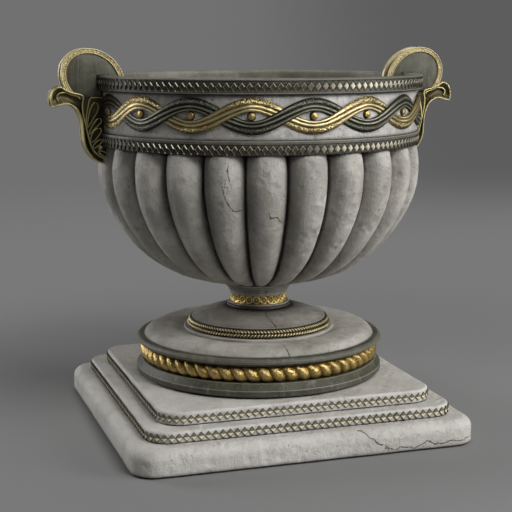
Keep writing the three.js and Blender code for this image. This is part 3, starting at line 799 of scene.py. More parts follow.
@dataclass(frozen=True)
class DarkBronze:
    """Black-green patina, with bright metal where it is rubbed and as painted highlights on its edges and
    grains, and painted shade in its recesses.
    """

    slot: str = "dark_bronze"
    name: str = "dark_bronze"
    patina: Colour = (0.022, 0.024, 0.016)
    olive: Colour = (0.07, 0.068, 0.04)
    rubbed_and_highlight: Colour = (0.42, 0.38, 0.24)
    recess: Colour = (0.006, 0.006, 0.004)
    metal: float = 0.6
    roughness: float = 0.4

    def make(self) -> Material:
        """Builds the material."""
        shader = Shader(self.name)
        place = shader.place()
        patches = shader.noise(place, 60, 7, 0.68)
        specks = shader.noise(place, 430, 4, 0.7)
        grain = shader.cells(place, 520)
        grainy = shader.layer(Layer.GRAIN)
        edge = shader.layer(Layer.EDGE)
        dirt_and_shade = shader.layer(Layer.DIRT_AND_SHADE)
        colour = shader.coated(
            self.patina,
            (patches.between(0.42, 0.66), self.olive),
            # Painted glints on the grains and painted highlights on the edges, with the rubbed metal.
            (grain.between(0.26, 0.1) * grainy * 0.8, self.rubbed_and_highlight),
            ((edge * (specks * 1.6 + 0.1)).clamped(), self.rubbed_and_highlight),
            (dirt_and_shade * 0.85, self.recess),
        )
        height = patches * 0.35 + specks * 0.25 - grain * (grainy * 0.9 + 0.12)
        rough = patches * 0.35 + (self.roughness - 0.15)
        return shader.finish(colour, rough, self.metal, height, 1.1)


@dataclass(frozen=True)
class LatticeMetal:
    """Trim of two metals: tone 0 is its dark bronze and tone 1 its pale gilding; the tones also carry painted
    highlights and painted shade.
    """

    slot: str = "gilt"
    name: str = "lattice_metal"
    dark: Colour = (0.028, 0.024, 0.013)
    pale: Colour = (0.80, 0.75, 0.58)
    metal: float = 0.5
    roughness: float = 0.42

    def make(self) -> Material:
        """Builds the material."""
        shader = Shader(self.name)
        brightening = shader.noise(shader.place(), 85, 5, 0.6)
        tone = shader.layer(Layer.TONE)
        share = (tone * (brightening * 0.9 + 0.55)).clamped()
        colour = shader.mix(share, self.dark, self.pale)
        return shader.finish(colour, self.roughness, self.metal, brightening, 0.12)


@dataclass(frozen=True)
class Steel:
    """Plain grey hardware."""

    slot: str = "steel"
    grey: Colour = (0.42, 0.42, 0.43)

    def make(self) -> Material:
        """Builds the material."""
        shader = Shader(self.slot)
        brightening = shader.noise(shader.place(), 140, 4)
        colour = shader.mix(brightening.between(0.4, 0.7) * 0.5, self.grey, (0.2, 0.2, 0.2))
        return shader.finish(colour, brightening * 0.4 + 0.2, 1.0)


Finish = PaleStone | DarkStone | Gilding | DarkBronze | LatticeMetal | Steel


@cache
def material_of(finish: Finish) -> Material:
    """The material of a finish, built once."""
    return finish.make()


def dress(piece: Piece, finish: Finish, *nodes: str) -> None:
    """Gives a piece its finish, sets it on the vase and says which solids it stands for."""
    piece.data.materials.clear()
    piece.data.materials.append(material_of(finish))
    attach(piece, BODY)
    if nodes:
        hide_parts(*nodes)
    LOG.info("%s: %d faces, %s", piece.name, len(piece.data.polygons), finish.slot)


# Trim that repeats one small cell


@dataclass(frozen=True)
class DiamondCell:
    """One diamond of a lattice: a raised frame round a facetted or a sunken middle.

    The diamond fills a box one cell long and one strip high. Its frame rises from the outline
    to a ridge and falls to an inner diamond, over which the middle stands as a pyramid.
    """

    ridge_share: float
    inner_share: float
    ridge_height: float
    inner_height: float
    apex_height: float
    tail: float
    groove_tones: tuple[float, float, float, float]
    bevel_tones: tuple[float, float, float, float]
    facet_tones: tuple[float, float, float, float]
    outline_height: float = 0.0
    foot: float = -1.4

    def vertices(self) -> Array:
        """Place along and up the cell, from 0 to 1, and height out of the wall, one row each."""
        corners = np.array([(0.5, 0.0), (0.0, -0.5), (-0.5, 0.0), (0.0, 0.5)])
        stretch = np.array([(1, 1), (1, 1 + self.tail), (1, 1), (1, 1)])
        rings = [
            (corners * stretch, self.foot),
            (corners * stretch, self.outline_height),
            (corners * self.ridge_share, self.ridge_height),
            (corners * self.inner_share, self.inner_height),
            (np.zeros((1, 2)), self.apex_height),
        ]
        return np.concatenate([np.column_stack([ring + 0.5, np.full(len(ring), out)]) for ring, out in rings])

    def polygons(self) -> list[list[int]]:
        """Faces of the cell: the foot, three rings of four, and the four facets of the middle."""
        rings = [
            [4 * k + i, 4 * k + (i + 1) % 4, 4 * k + 4 + (i + 1) % 4, 4 * k + 4 + i]
            for k in range(3)
            for i in range(4)
        ]
        facets = [[12 + i, 12 + (i + 1) % 4, 16] for i in range(4)]
        return [[3, 2, 1, 0], *rings, *facets]

    def tones(self, brightening: Array) -> Array:
        """The tone of each face of each cell; a cell's two brightenings, which carry painted light, scale its
        bevels and its facets.
        """
        foot_tones = [0.0] * 5
        rest = np.tile([*foot_tones, *self.groove_tones], (len(brightening), 1))
        bevels, facets = brightening[:, :1] * self.bevel_tones, brightening[:, 1:] * self.facet_tones
        return np.column_stack([rest, bevels, facets]).ravel()


STUD_CELL = DiamondCell(
    ridge_share=0.93, inner_share=0.84, tail=0.2,
    ridge_height=0.8, inner_height=0.45, apex_height=1.0,
    groove_tones=(0.0, 0.0, 0.02, 0.02),
    bevel_tones=(0.0, 0.0, 0.14, 0.1),
    facet_tones=(1.0, 1.0, 0.2, 0.14),
)
# The band's bevels are painted brighter on their upper sides, most on the upper right, as painted highlights.
BAND_CELL = DiamondCell(
    ridge_share=0.86, inner_share=0.64, tail=0.0,
    outline_height=0.3, ridge_height=-0.4, inner_height=0.85, apex_height=0.95,
    groove_tones=(0.0, 0.8, 0.05, 0.0),
    bevel_tones=(0.1, 0.5, 1.0, 1.2),
    facet_tones=(0.62, 0.58, 0.62, 0.68),
)


def uniform_brightening(share: Array) -> Array:
    """Full brightness for the bevels and facets of each cell."""
    return np.ones((len(share), 2))


def lattice(
    name: str,
    cell: DiamondCell,
    count: int,
    bottom: float,
    height: float,
    wall: Callable[[Array, Array], Array],
    brightening: Callable[[Array], Array] = uniform_brightening,
) -> Piece:
    """Repeats a cell along a wall.

    Args:
        name: The object's name.
        cell: The cell to repeat.
        count: Cells in the whole round.
        bottom: Height of the strip's lower edge.
        height: Height of the strip.
        wall: Gives the X and Y of a place, from its share of the round and its distance out.
        brightening: Gives how bright the bevels and the facets of a cell are, as painted light, from its
            share of the round.

    Returns:
        The object.
    """
    base = cell.vertices()
    share = (np.arange(count)[:, None] + base[None, :, 0]) / count
    out = np.broadcast_to(base[None, :, 2], share.shape)
    up = np.broadcast_to(bottom + height * base[None, :, 1], share.shape)
    flat = wall(share.ravel() % 1.0, out.ravel())
    vertices = np.column_stack([flat, up.ravel()])
    polygons = [
        [corner + k * len(base) for corner in polygon] for k in range(count) for polygon in cell.polygons()
    ]
    tones = cell.tones(brightening(np.arange(count) / count))
    return solid(name, vertices, polygons, face_layers={Layer.TONE: tones}, crease=12)


def round_wall(radius: float) -> Callable[[Array, Array], Array]:
    """A round wall, for a lattice."""

    def place(share: Array, out: Array) -> Array:
        """X and Y at a share of the round and a distance out."""
        return around(radius + out, np.zeros_like(share), share * TURN)[:, :2]

    return place


def painted_side_light(share: Array) -> Array:
    """Wear of the bands' diamonds.

    They are painted dull, as shade, near the handles, and their middles are painted bright, as a
    reflection of the lamps, only from the front towards +X and the back.
    """
    degrees = (share * 360 + 180) % 360 - 180
    from_handle = np.abs(np.abs(degrees) - 90)
    open_side = 0.22 + 0.78 * smoothstep(from_handle, 46, 62)
    bright = 0.1 + 0.9 * smoothstep(degrees, -8, 10) * smoothstep(degrees, 179, 150)
    return np.column_stack([np.where(degrees > 0, open_side, 1.0), open_side * bright])


# The plinth


@dataclass
class Plinth:
    """A slab and two steps with rounded corners, each step trimmed with a row of diamonds."""

    slab_half: float = 208.9
    slab_top: float = 32.3
    slab_corner: float = 30.0
    slab_top_edge: float = 13.0
    slab_foot_edge: float = 4.5
    middle_half: float = 187.5
    middle_top: float = 46.0
    top_half: float = 168.8
    step_corner: float = 29.0
    step_edge: float = 3.0
    step_foot_edge: float = 0.5
    trim_gap: float = 0.3
    counterbore: float = 20.0
    counterbore_top: float = 17.0
    cell_pitch: float = 8.5

    CRACKS: tuple[Crack, ...] = (
        (
            (52.0, -199.0, 32.0), (60.2, -202.1, 30.0), (66.0, -207.0, 24.0), (71.0, -208.5, 21.0),
            (77.2, -208.8, 14.8), (86.0, -208.8, 12.7), (92.0, -208.6, 8.0), (101.0, -208.4, 3.0),
        ),
        ((86.0, -208.8, 12.7), (88.0, -208.8, 9.0), (84.0, -208.8, 5.0)),
        (
            (99.0, -208.4, 4.0), (106.0, -208.3, 8.0), (116.0, -208.3, 6.8), (124.4, -208.3, 4.9),
            (134.0, -208.5, 8.5), (140.8, -208.6, 13.0), (150.0, -208.5, 6.9), (161.0, -208.6, 7.0),
            (171.9, -208.7, 9.6), (184.0, -207.5, 7.6), (197.6, -202.3, 9.8),
        ),
    )

    @staticmethod
    def run() -> tuple[Array, Array]:
        """The way round a rounded square.

        Returns:
            For each point, its place on the square of the corners' centres, from -1 to 1, and its
            outward direction. A point of the outline is the centres' half side times the first,
            plus the corner's radius times the second.
        """
        side_steps, corner_steps = 110, 12
        places, ways = [], []
        signs = np.array([(1, 1), (-1, 1), (-1, -1), (1, -1)], float)
        for k in range(4):
            corner = np.radians(90 * k + np.linspace(0, 90, corner_steps))
            places.append(np.repeat(signs[k : k + 1], corner_steps, axis=0))
            ways.append(np.column_stack([np.cos(corner), np.sin(corner)]))
            share = np.linspace(0, 1, side_steps + 2)[1:-1, None]
            places.append(signs[k] + (signs[(k + 1) % 4] - signs[k]) * share)
            ways.append(np.repeat(ways[-1][-1:], side_steps, axis=0))
        return np.concatenate(places), np.concatenate(ways)

    def block(
        self,
        name: str,
        half: float,
        corner: float,
        bottom: float,
        top: float,
        top_edge: float,
        foot_edge: float,
        under: Outline,
        grime_and_shade: GrimeAndShade,
        cracks: Sequence[Crack] = (),
    ) -> Piece:
        """A square plate with rounded edges.

        Each row of the grid is the rounded square drawn in by an inset that follows the plate's
        edge profile, or a circle where the row belongs to the bore.

        Args:
            name: The object's name.
            half: Half the plate's side.
            corner: Radius of its corners.
            bottom: Height of its underside.
            top: Height of its top.
            top_edge: Radius of the upper edge.
            foot_edge: Radius of the lower edge.
            under: Radius and height of the circles below, from outside to inside.
            grime_and_shade: Where dirt and painted shade gather.
            cracks: Points of each crack in the front.

        Returns:
            The object.
        """
        ledge_width, dirt_and_shade_width = 70.0, 60.0
        centres, ways = self.run()
        bend = np.radians(np.linspace(0, 90, 9))
        ledge = np.linspace(half - ledge_width, half - top_edge - 1, 22)
        rows = [(half - r, top) for r in ledge]
        rows += [(top_edge * (1 - math.sin(a)), top - top_edge * (1 - math.cos(a))) for a in bend]
        side = np.linspace(top - top_edge, bottom + foot_edge, 8)[1:-1]
        rows += [(0.0, height) for height in side]
        rows += [(foot_edge * (1 - math.cos(a)), bottom + foot_edge * (1 - math.sin(a))) for a in bend]
        insets, heights = np.array(rows).T
        radius = np.maximum(corner - insets, 1.0)
        spread = (half - insets - radius)[:, None, None] * centres + radius[:, None, None] * ways
        square = np.dstack([spread, np.broadcast_to(heights[:, None], spread.shape[:2])])
        away = np.arctan2(spread[-1, :, 1], spread[-1, :, 0])
        circles = np.array([*under, (BORE, top)])
        ring = np.stack([np.cos(away), np.sin(away)], axis=-1)
        holes = circles[:, 0, None, None] * ring
        holes = np.dstack([holes, np.broadcast_to(circles[:, 1, None], holes.shape[:2])])
        wander = 1.5 + ripple(square, 55, 11) + 0.5 * ripple(square, 17, 4)
        inward = np.concatenate([-ways, np.zeros((len(ways), 1))], axis=1)
        square = square + 0.35 * wander[..., None] * inward * (heights > bottom)[:, None, None]
        square[..., 2] -= 0.2 * wander * (heights > bottom + foot_edge)[:, None]
        # Painted highlights on the rounded upper edge, and a near-black painted contact shadow at the given
        # height.
        turn = np.abs(turning(np.column_stack([-insets, heights]))) * (insets < top_edge)
        gathered_dirt_and_shade = np.minimum(2.4 * np.exp(-np.abs(heights - grime_and_shade.height) / grime_and_shade.reach), 1)
        profile = {Layer.DIRT_AND_SHADE: gathered_dirt_and_shade * (insets < dirt_and_shade_width), Layer.EDGE: np.clip(turn * 1.6, 0, 0.9)}
        grid = np.concatenate([square, holes])
        clean = np.zeros(len(circles))
        layers = {
            layer: np.broadcast_to(np.concatenate([values, clean])[:, None], grid.shape[:2])
            for layer, values in profile.items()
        }
        if cracks:
            layers |= crack_layers(grid, cracks, (0.0, -1.0, 0.0))
        return surface(name, grid, loop_rows=True, layers=layers)

    def wall(self, half: float, corner: float) -> tuple[Callable[[Array, Array], Array], float]:
        """The wall of a step, for a lattice, and the length of the way round it."""
        centres, ways = self.run()
        line = (half - corner) * centres + corner * ways
        closed = np.concatenate([line, line[:1]])
        steps = np.linalg.norm(np.diff(closed, axis=0), axis=1)
        length = np.concatenate([[0.0], np.cumsum(steps)])
        facing = np.concatenate([ways, ways[:1]])

        def place(share: Array, out: Array) -> Array:
            """X and Y at a share of the round and a distance out."""
            at = share * length[-1]
            spot = np.column_stack([np.interp(at, length, closed[:, k]) for k in range(2)])
            way = np.column_stack([np.interp(at, length, facing[:, k]) for k in range(2)])
            return spot + out[:, None] * unit(way)

        return place, length[-1]

    def build(self) -> None:
        """Makes the three stones and the two rows of diamonds."""
        finish = PaleStone(
            name="plinth_stone", light=(0.74, 0.715, 0.67), grey=(0.62, 0.595, 0.545),
            stain=(0.42, 0.39, 0.32), worn_and_highlight=(0.80, 0.78, 0.74), stained=0.4, relief=2.8,
        )
        trim = LatticeMetal(
            name="step_metal", dark=(0.055, 0.044, 0.016), pale=(0.95, 0.89, 0.66), metal=0.1
        )
        under = [
            (self.counterbore, 0.0),
            (self.counterbore, self.counterbore_top),
            (BORE, self.counterbore_top),
        ]
        # Painted contact shadow at the foot of the slab and of each step.
        slab = self.block(
            "plinth_slab_stone", self.slab_half, self.slab_corner, 0.0, self.slab_top, self.slab_top_edge,
            self.slab_foot_edge, under, GrimeAndShade(0.0, 2.3), self.CRACKS,
        )
        dress(slab, finish, "plinth_slab")
        steps = (
            ("middle", self.middle_half, self.slab_top, self.middle_top, 1.8, 9.8),
            ("top", self.top_half, self.middle_top, PLINTH_TOP, 3.5, 8.8),
        )
        for place, half, bottom, top, lift, height in steps:
            stone = self.block(
                f"plinth_{place}_stone", half, self.step_corner, bottom, top, self.step_edge,
                self.step_foot_edge, [(BORE, bottom)], GrimeAndShade(bottom, 0.9),
            )
            dress(stone, finish, f"plinth_{place}_step")
            wall, length = self.wall(half + self.trim_gap, self.step_corner)
            count = round(length / self.cell_pitch)
            diamonds = lattice(f"{place}_step_diamonds", STUD_CELL, count, bottom + lift, height, wall)
            dress(diamonds, trim, f"{place}_step_lattice")


# The foot


@dataclass
class Foot:
    """Turned discs: a dark ring, a rope, a dark bead, a dome and a cap with a plaited ring."""

    lower_ring_top: float = 79.5
    rope_top: float = 100.0
    upper_ring_top: float = 109.1
    dome_seat: float = 114.7
    flange_top: float = 118.4
    cap_edge: float = 130.0
    lower_ring_radius: float = 155.5
    core_radius: float = 140.0
    rope_radius: float = 151.0
    rope_half_height: float = 10.1
    rope_strands: int = 60
    rope_lean: float = 0.34
    strand_depth: float = 5.2
    upper_ring_radius: float = 155.0
    dome_radius: float = 145.8
    dome_core: float = 120.0
    dome_crown: float = 9.8
    flange_radius: float = 95.0
    groove_radius: float = 83.5
    cap_radius: float = 84.8
    plait_radius: float = 91.4
    plait_teeth: int = 137
    plait_lean: float = 3.6
    tooth_depth: float = 2.2

    DOME_CRACK: Crack = (
        (-7.0, -112.0, 121.0), (-8.5, -125.3, 118.4), (-9.6, -140.5, 114.8), (-8.4, -146.0, 109.5),
    )
    CAP_CRACK: Crack = (
        (-6.0, -42.0, 143.0), (-8.7, -60.4, 139.3), (-5.5, -74.5, 134.4), (-4.0, -84.0, 130.5),
    )

    def lower_ring(self) -> Piece:
        """The ring under the rope, with a sloping shoulder and the core that the rope goes round."""
        radius, bottom, top = self.lower_ring_radius, PLINTH_TOP, self.lower_ring_top
        outline = rounded([
            (BORE, bottom, 0),
            (radius - 5.2, bottom, 0.1),
            (radius - 4.4, bottom + 2.3, 0.4),
            (radius - 0.7, bottom + 2.6, 0.7),
            (radius, bottom + 5.0, 0.9),
            (radius, top - 8.0, 0.7),
            (radius - 1.1, top - 6.8, 0.7),
            (radius - 6.5, top, 0.8),
            (self.core_radius, top, 0),
            (self.core_radius, self.rope_top, 0),
            (BORE, self.rope_top, 0),
        ])
        # Painted contact shadow where the ring stands on the plinth.
        return turned("lower_ring", outline, grime_and_shade=[GrimeAndShade(bottom, 2.6), GrimeAndShade(bottom + 1.6, 1.6)])

    def rope(self) -> Piece:
        """The rope: fat round strands that lean to the left, each steeper on its lower left side.

        At a place w of the height, from -1 to 1, the rope's section falls inwards as a circle does.
        Over a strand's width q runs from -1 to 1, faster on one side, and the strand bulges as a
        circle of q, less so towards the rope's edges, where the strands draw together.
        """
        per_strand, levels = 14, 28
        w = np.linspace(-0.98, 0.98, levels)[:, None]
        height = (self.lower_ring_top + self.rope_top) / 2 + w * self.rope_half_height
        angle = round_angles(self.rope_strands * per_strand)
        share = (angle * self.rope_strands / TURN + self.rope_lean * w + 0.1 * w**2) % 1.0
        q = 2 * share**0.86 - 1
        bulge = np.sqrt(np.maximum(1 - (q * 0.99) ** 2, 0))
        section = self.rope_radius - 0.2 - 9.5 * round_fall(w) ** 1.1
        radius = section - self.strand_depth * (1 - bulge) ** 0.9 - 1.2 * np.abs(q) * w**2
        back_height = np.array([self.rope_top - 0.3, self.lower_ring_top + 0.1])[:, None]
        back = around(self.core_radius + 0.5, back_height, angle)
        # Dirt and painted shade between the strands and at the rope's edges; painted highlights on the
        # strands' crowns.
        dirt_and_shade = np.maximum(np.clip((1 - bulge) * 1.3 - 0.5, 0, 1), np.abs(w) ** 10 * 0.9)
        edge = bulge**6 * 0.4 * (1 - w**2)
        layers = {Layer.DIRT_AND_SHADE: dirt_and_shade, Layer.EDGE: edge, Layer.GRAIN: np.full(dirt_and_shade.shape, 0.5)}
        grid, layers = backed(around(radius, height, angle), back, layers)
        return surface("rope_strands", grid, loop_rows=True, layers=layers, crease=80)

    def upper_ring(self) -> Piece:
        """The bead over the rope, flattened above and hollowed below its widest line."""
        radius, bottom, top = self.upper_ring_radius, self.rope_top, self.upper_ring_top
        inner, middle = self.dome_core + 0.3, (bottom + top) / 2
        outline = rounded([
            (inner, bottom, 0),
            (radius - 4.4, bottom, 1.0),
            (radius - 3.0, middle - 2.6, 1.2),
            (radius, middle - 0.9, 1.3),
            (radius - 0.2, middle + 2.2, 1.4),
            (radius - 2.6, top - 0.1, 1.4),
            (self.dome_radius + 0.3, top, 0.4),
            (inner, top, 0),
        ])
        # Painted shade where the bead sits on the rope.
        return turned("upper_ring", outline, grime_and_shade=[GrimeAndShade(bottom, 1.0)])

    def dome(self) -> Piece:
        """The cushion-shaped disc: it rises steeply from its edge and flattens towards the middle."""
        share = np.linspace(0, 1, 40)
        crown = self.dome_crown * (1 - (2 * share - 1) ** 4) * (1 - 0.7 * share)
        radius = self.dome_radius + (self.flange_radius - self.dome_radius) * share
        height = self.upper_ring_top + (self.dome_seat - self.upper_ring_top) * share + crown
        core = self.dome_core
        under = [(BORE, self.rope_top), (core, self.rope_top), (core, self.upper_ring_top)]
        outline = np.concatenate([under, np.column_stack([radius, height]), [(BORE, self.dome_seat)]])
        # Painted shade where the dome meets the bead.
        grime_and_shade = [GrimeAndShade(self.upper_ring_top, 0.7)]
        return turned("dome_stone", outline, 320, grime_and_shade, 0.15, [self.DOME_CRACK])

    def cap(self) -> Piece:
        """The cap: a lip, a groove for the plait, a thin edge and a slope up to the stem."""
        share = np.linspace(1, 0, 26)
        slope_radius = FILLET_RADIUS + (self.cap_radius - FILLET_RADIUS) * share
        slope_height = self.cap_edge + (CAP_TOP - self.cap_edge) * (1 - share**1.6)
        lower = rounded([
            (BORE, self.dome_seat, 0),
            (self.flange_radius, self.dome_seat + 0.2, 1.0),
            (self.flange_radius - 0.4, self.flange_top, 1.0),
            (self.groove_radius, self.flange_top, 0),
            (self.groove_radius, self.cap_edge - 1.2, 0),
            (self.cap_radius + 0.4, self.cap_edge - 1.0, 0.4),
        ])
        upper = np.column_stack([slope_radius, slope_height])
        outline = np.concatenate([lower, upper, [(BORE, CAP_TOP)]])
        # Painted shade under the stem and under the cap's edge by the plait.
        grime_and_shade = [GrimeAndShade(CAP_TOP, 1.5), GrimeAndShade(self.cap_edge - 0.8, 1.2)]
        return turned("cap_stone", outline, 260, grime_and_shade, 0.12, [self.CAP_CRACK])

    def plait(self) -> Piece:
        """The plaited ring: two rows of small leaning teeth that meet in a herringbone.

        A tooth's share of its pitch runs ahead with the distance from the middle line, so the
        teeth lean both ways from it. Each tooth bulges as a half sine, and each row as a circle.
        The ring leans inwards towards the cap's edge.
        """
        per_tooth, levels = 8, 19
        v = np.linspace(0, 1, levels)[:, None]
        bottom, height = self.flange_top + 1.2, self.cap_edge - self.flange_top - 2.0
        angle = round_angles(self.plait_teeth * per_tooth)
        share = (angle * self.plait_teeth / TURN + 0.85 * np.abs(2 * v - 1)) % 1.0
        row = np.abs(np.sin(v * TURN))
        tooth = np.sin(share * math.pi)
        ground = self.plait_radius - self.tooth_depth
        relief = self.tooth_depth * np.sqrt(row) * (0.25 + 0.75 * tooth)
        face = around(ground - self.plait_lean * v**1.3 + relief, bottom + v * height, angle)
        groove, seat = self.groove_radius + 0.4, self.flange_top + 0.1
        corners = np.array([(groove, bottom + height - 0.6), (groove, seat), (ground - 0.1, seat)])
        back = around(corners[:, :1], corners[:, 1:], angle)
        # Dirt and painted shade between the teeth, painted highlights on their tops.
        dirt_and_shade = np.clip(1.1 - 1.7 * row * tooth, 0, 1)
        grid, layers = backed(face, back, {Layer.DIRT_AND_SHADE: dirt_and_shade, Layer.EDGE: row * tooth**3})
        return surface("plait", grid, loop_rows=True, layers=layers, crease=80)

    def build(self) -> None:
        """Makes and dresses the foot's pieces."""
        ring_stone = DarkStone(
            name="ring_stone", deep=(0.038, 0.037, 0.021), grey=(0.085, 0.083, 0.052), roughness=0.5,
        )
        rope_gilt = Gilding(
            name="rope_gilt", gold=(0.60, 0.41, 0.12), bright=(0.92, 0.78, 0.42), tarnish=(0.25, 0.15, 0.03),
            roughness=0.38,
        )
        dress(self.lower_ring(), ring_stone, "foot_lower_ring")
        dress(self.rope(), rope_gilt, "foot_rope_ring")
        dress(self.upper_ring(), ring_stone, "foot_upper_ring")
        stained = PaleStone(
            name="foot_stone", light=(0.56, 0.53, 0.48), grey=(0.40, 0.38, 0.33), stain=(0.20, 0.175, 0.125),
            stained=0.75,
        )
        dress(self.dome(), stained, "foot_dome")
        # The cap's stone is the foot's stone painted darker, as the shade under the bowl.
        shaded = replace(stained, name="cap_stone", light=(0.385, 0.362, 0.32), grey=(0.27, 0.252, 0.215))
        dress(self.cap(), shaded, "foot_cap")
        plait_gilt = Gilding(
            name="plait_gilt", gold=(0.30, 0.23, 0.10), bright=(0.66, 0.58, 0.36),
            tarnish=(0.09, 0.07, 0.025),
        )
        dress(self.plait(), plait_gilt, "foot_plait_ring")


# The stem


@dataclass
class Stem:
    """A dark fillet, a thin pale ring and a gilt collar of round scrolls."""

    fillet_top: float = 146.6
    base_radius: float = 38.8
    collar_radius: float = 36.0
    scrolls: int = 24

    def ring(self, name: str, radius: float, bottom: float, top: float) -> Piece:
        """A flat disc with rounded edges and a bore."""
        outline = rounded([
            (BORE, bottom, 0),
            (radius - 0.4, bottom, 0.6),
            (radius, top - 0.4, 1.0),
            (BORE, top, 0),
        ])
        # Painted contact shade at the ring's foot.
        return turned(name, outline, 160, [GrimeAndShade(bottom, 0.8)])

    def collar(self) -> Piece:
        """The collar: in each square cell a ring and a boss stand out round the cell's middle.

        With d the distance from the cell's middle as a share of half the cell, the relief is
        the cosine of 1.2 turns per unit of d, fading towards the cell's corners, between plain
        beads at the top and the bottom.
        """
        per_scroll, levels = 18, 30
        v = np.linspace(0, 1, levels)[:, None]
        angle = round_angles(self.scrolls * per_scroll)
        across = 2 * ((angle * self.scrolls / TURN) % 1.0) - 1
        up = (2 * v - 1) * 1.13
        distance = np.hypot(across, up)
        ring = (0.5 + 0.5 * np.cos(distance * TURN * 1.2)) * smoothstep(distance, 1.2, 0.9)
        bead = smoothstep(np.abs(2 * v - 1), 0.80, 0.90) + 0 * angle
        waist = self.collar_radius - 1.7 + 1.3 * (2 * v - 1) ** 2
        radius = waist + 0.9 * ring * (1 - bead) + 0.8 * bead
        height = STEM_BASE_TOP + v * (COLLAR_TOP - STEM_BASE_TOP - 0.3)
        face = around(np.minimum(radius, self.collar_radius), height, angle)
        back_height = np.array([COLLAR_TOP - 0.3, STEM_BASE_TOP])[:, None]
        back = around(SPIGOT_RADIUS + 0.3, back_height, angle)
        # Dirt and painted shade between the scrolls, painted highlights on their rings.
        dirt_and_shade = np.clip(0.62 - 1.2 * np.maximum(ring, bead), 0, 1)
        grid, layers = backed(face, back, {Layer.DIRT_AND_SHADE: dirt_and_shade, Layer.EDGE: ring * 0.5})
        return surface("collar_scrolls", grid, loop_rows=True, layers=layers, crease=80)

    def build(self) -> None:
        """Makes and dresses the stem's pieces."""
        fillet = self.ring("fillet_ring", FILLET_RADIUS, CAP_TOP, self.fillet_top)
        fillet_stone = DarkStone(
            name="fillet_stone", deep=(0.022, 0.020, 0.014), grey=(0.055, 0.050, 0.038),
            worn_and_highlight=(0.20, 0.185, 0.15),
        )
        dress(fillet, fillet_stone, "stem_fillet_ring")
        base = self.ring("stem_base", self.base_radius, self.fillet_top, STEM_BASE_TOP)
        base_stone = PaleStone(
            name="base_stone", light=(0.30, 0.28, 0.24), grey=(0.20, 0.185, 0.155), stained=0.8,
        )
        dress(base, base_stone, "stem_base_ring")
        collar_gilt = Gilding(
            name="collar_gilt", gold=(0.74, 0.52, 0.15), bright=(0.95, 0.80, 0.42),
            recess=(0.038, 0.025, 0.006),
        )
        dress(self.collar(), collar_gilt, "stem_collar")


# The bowl and its bands


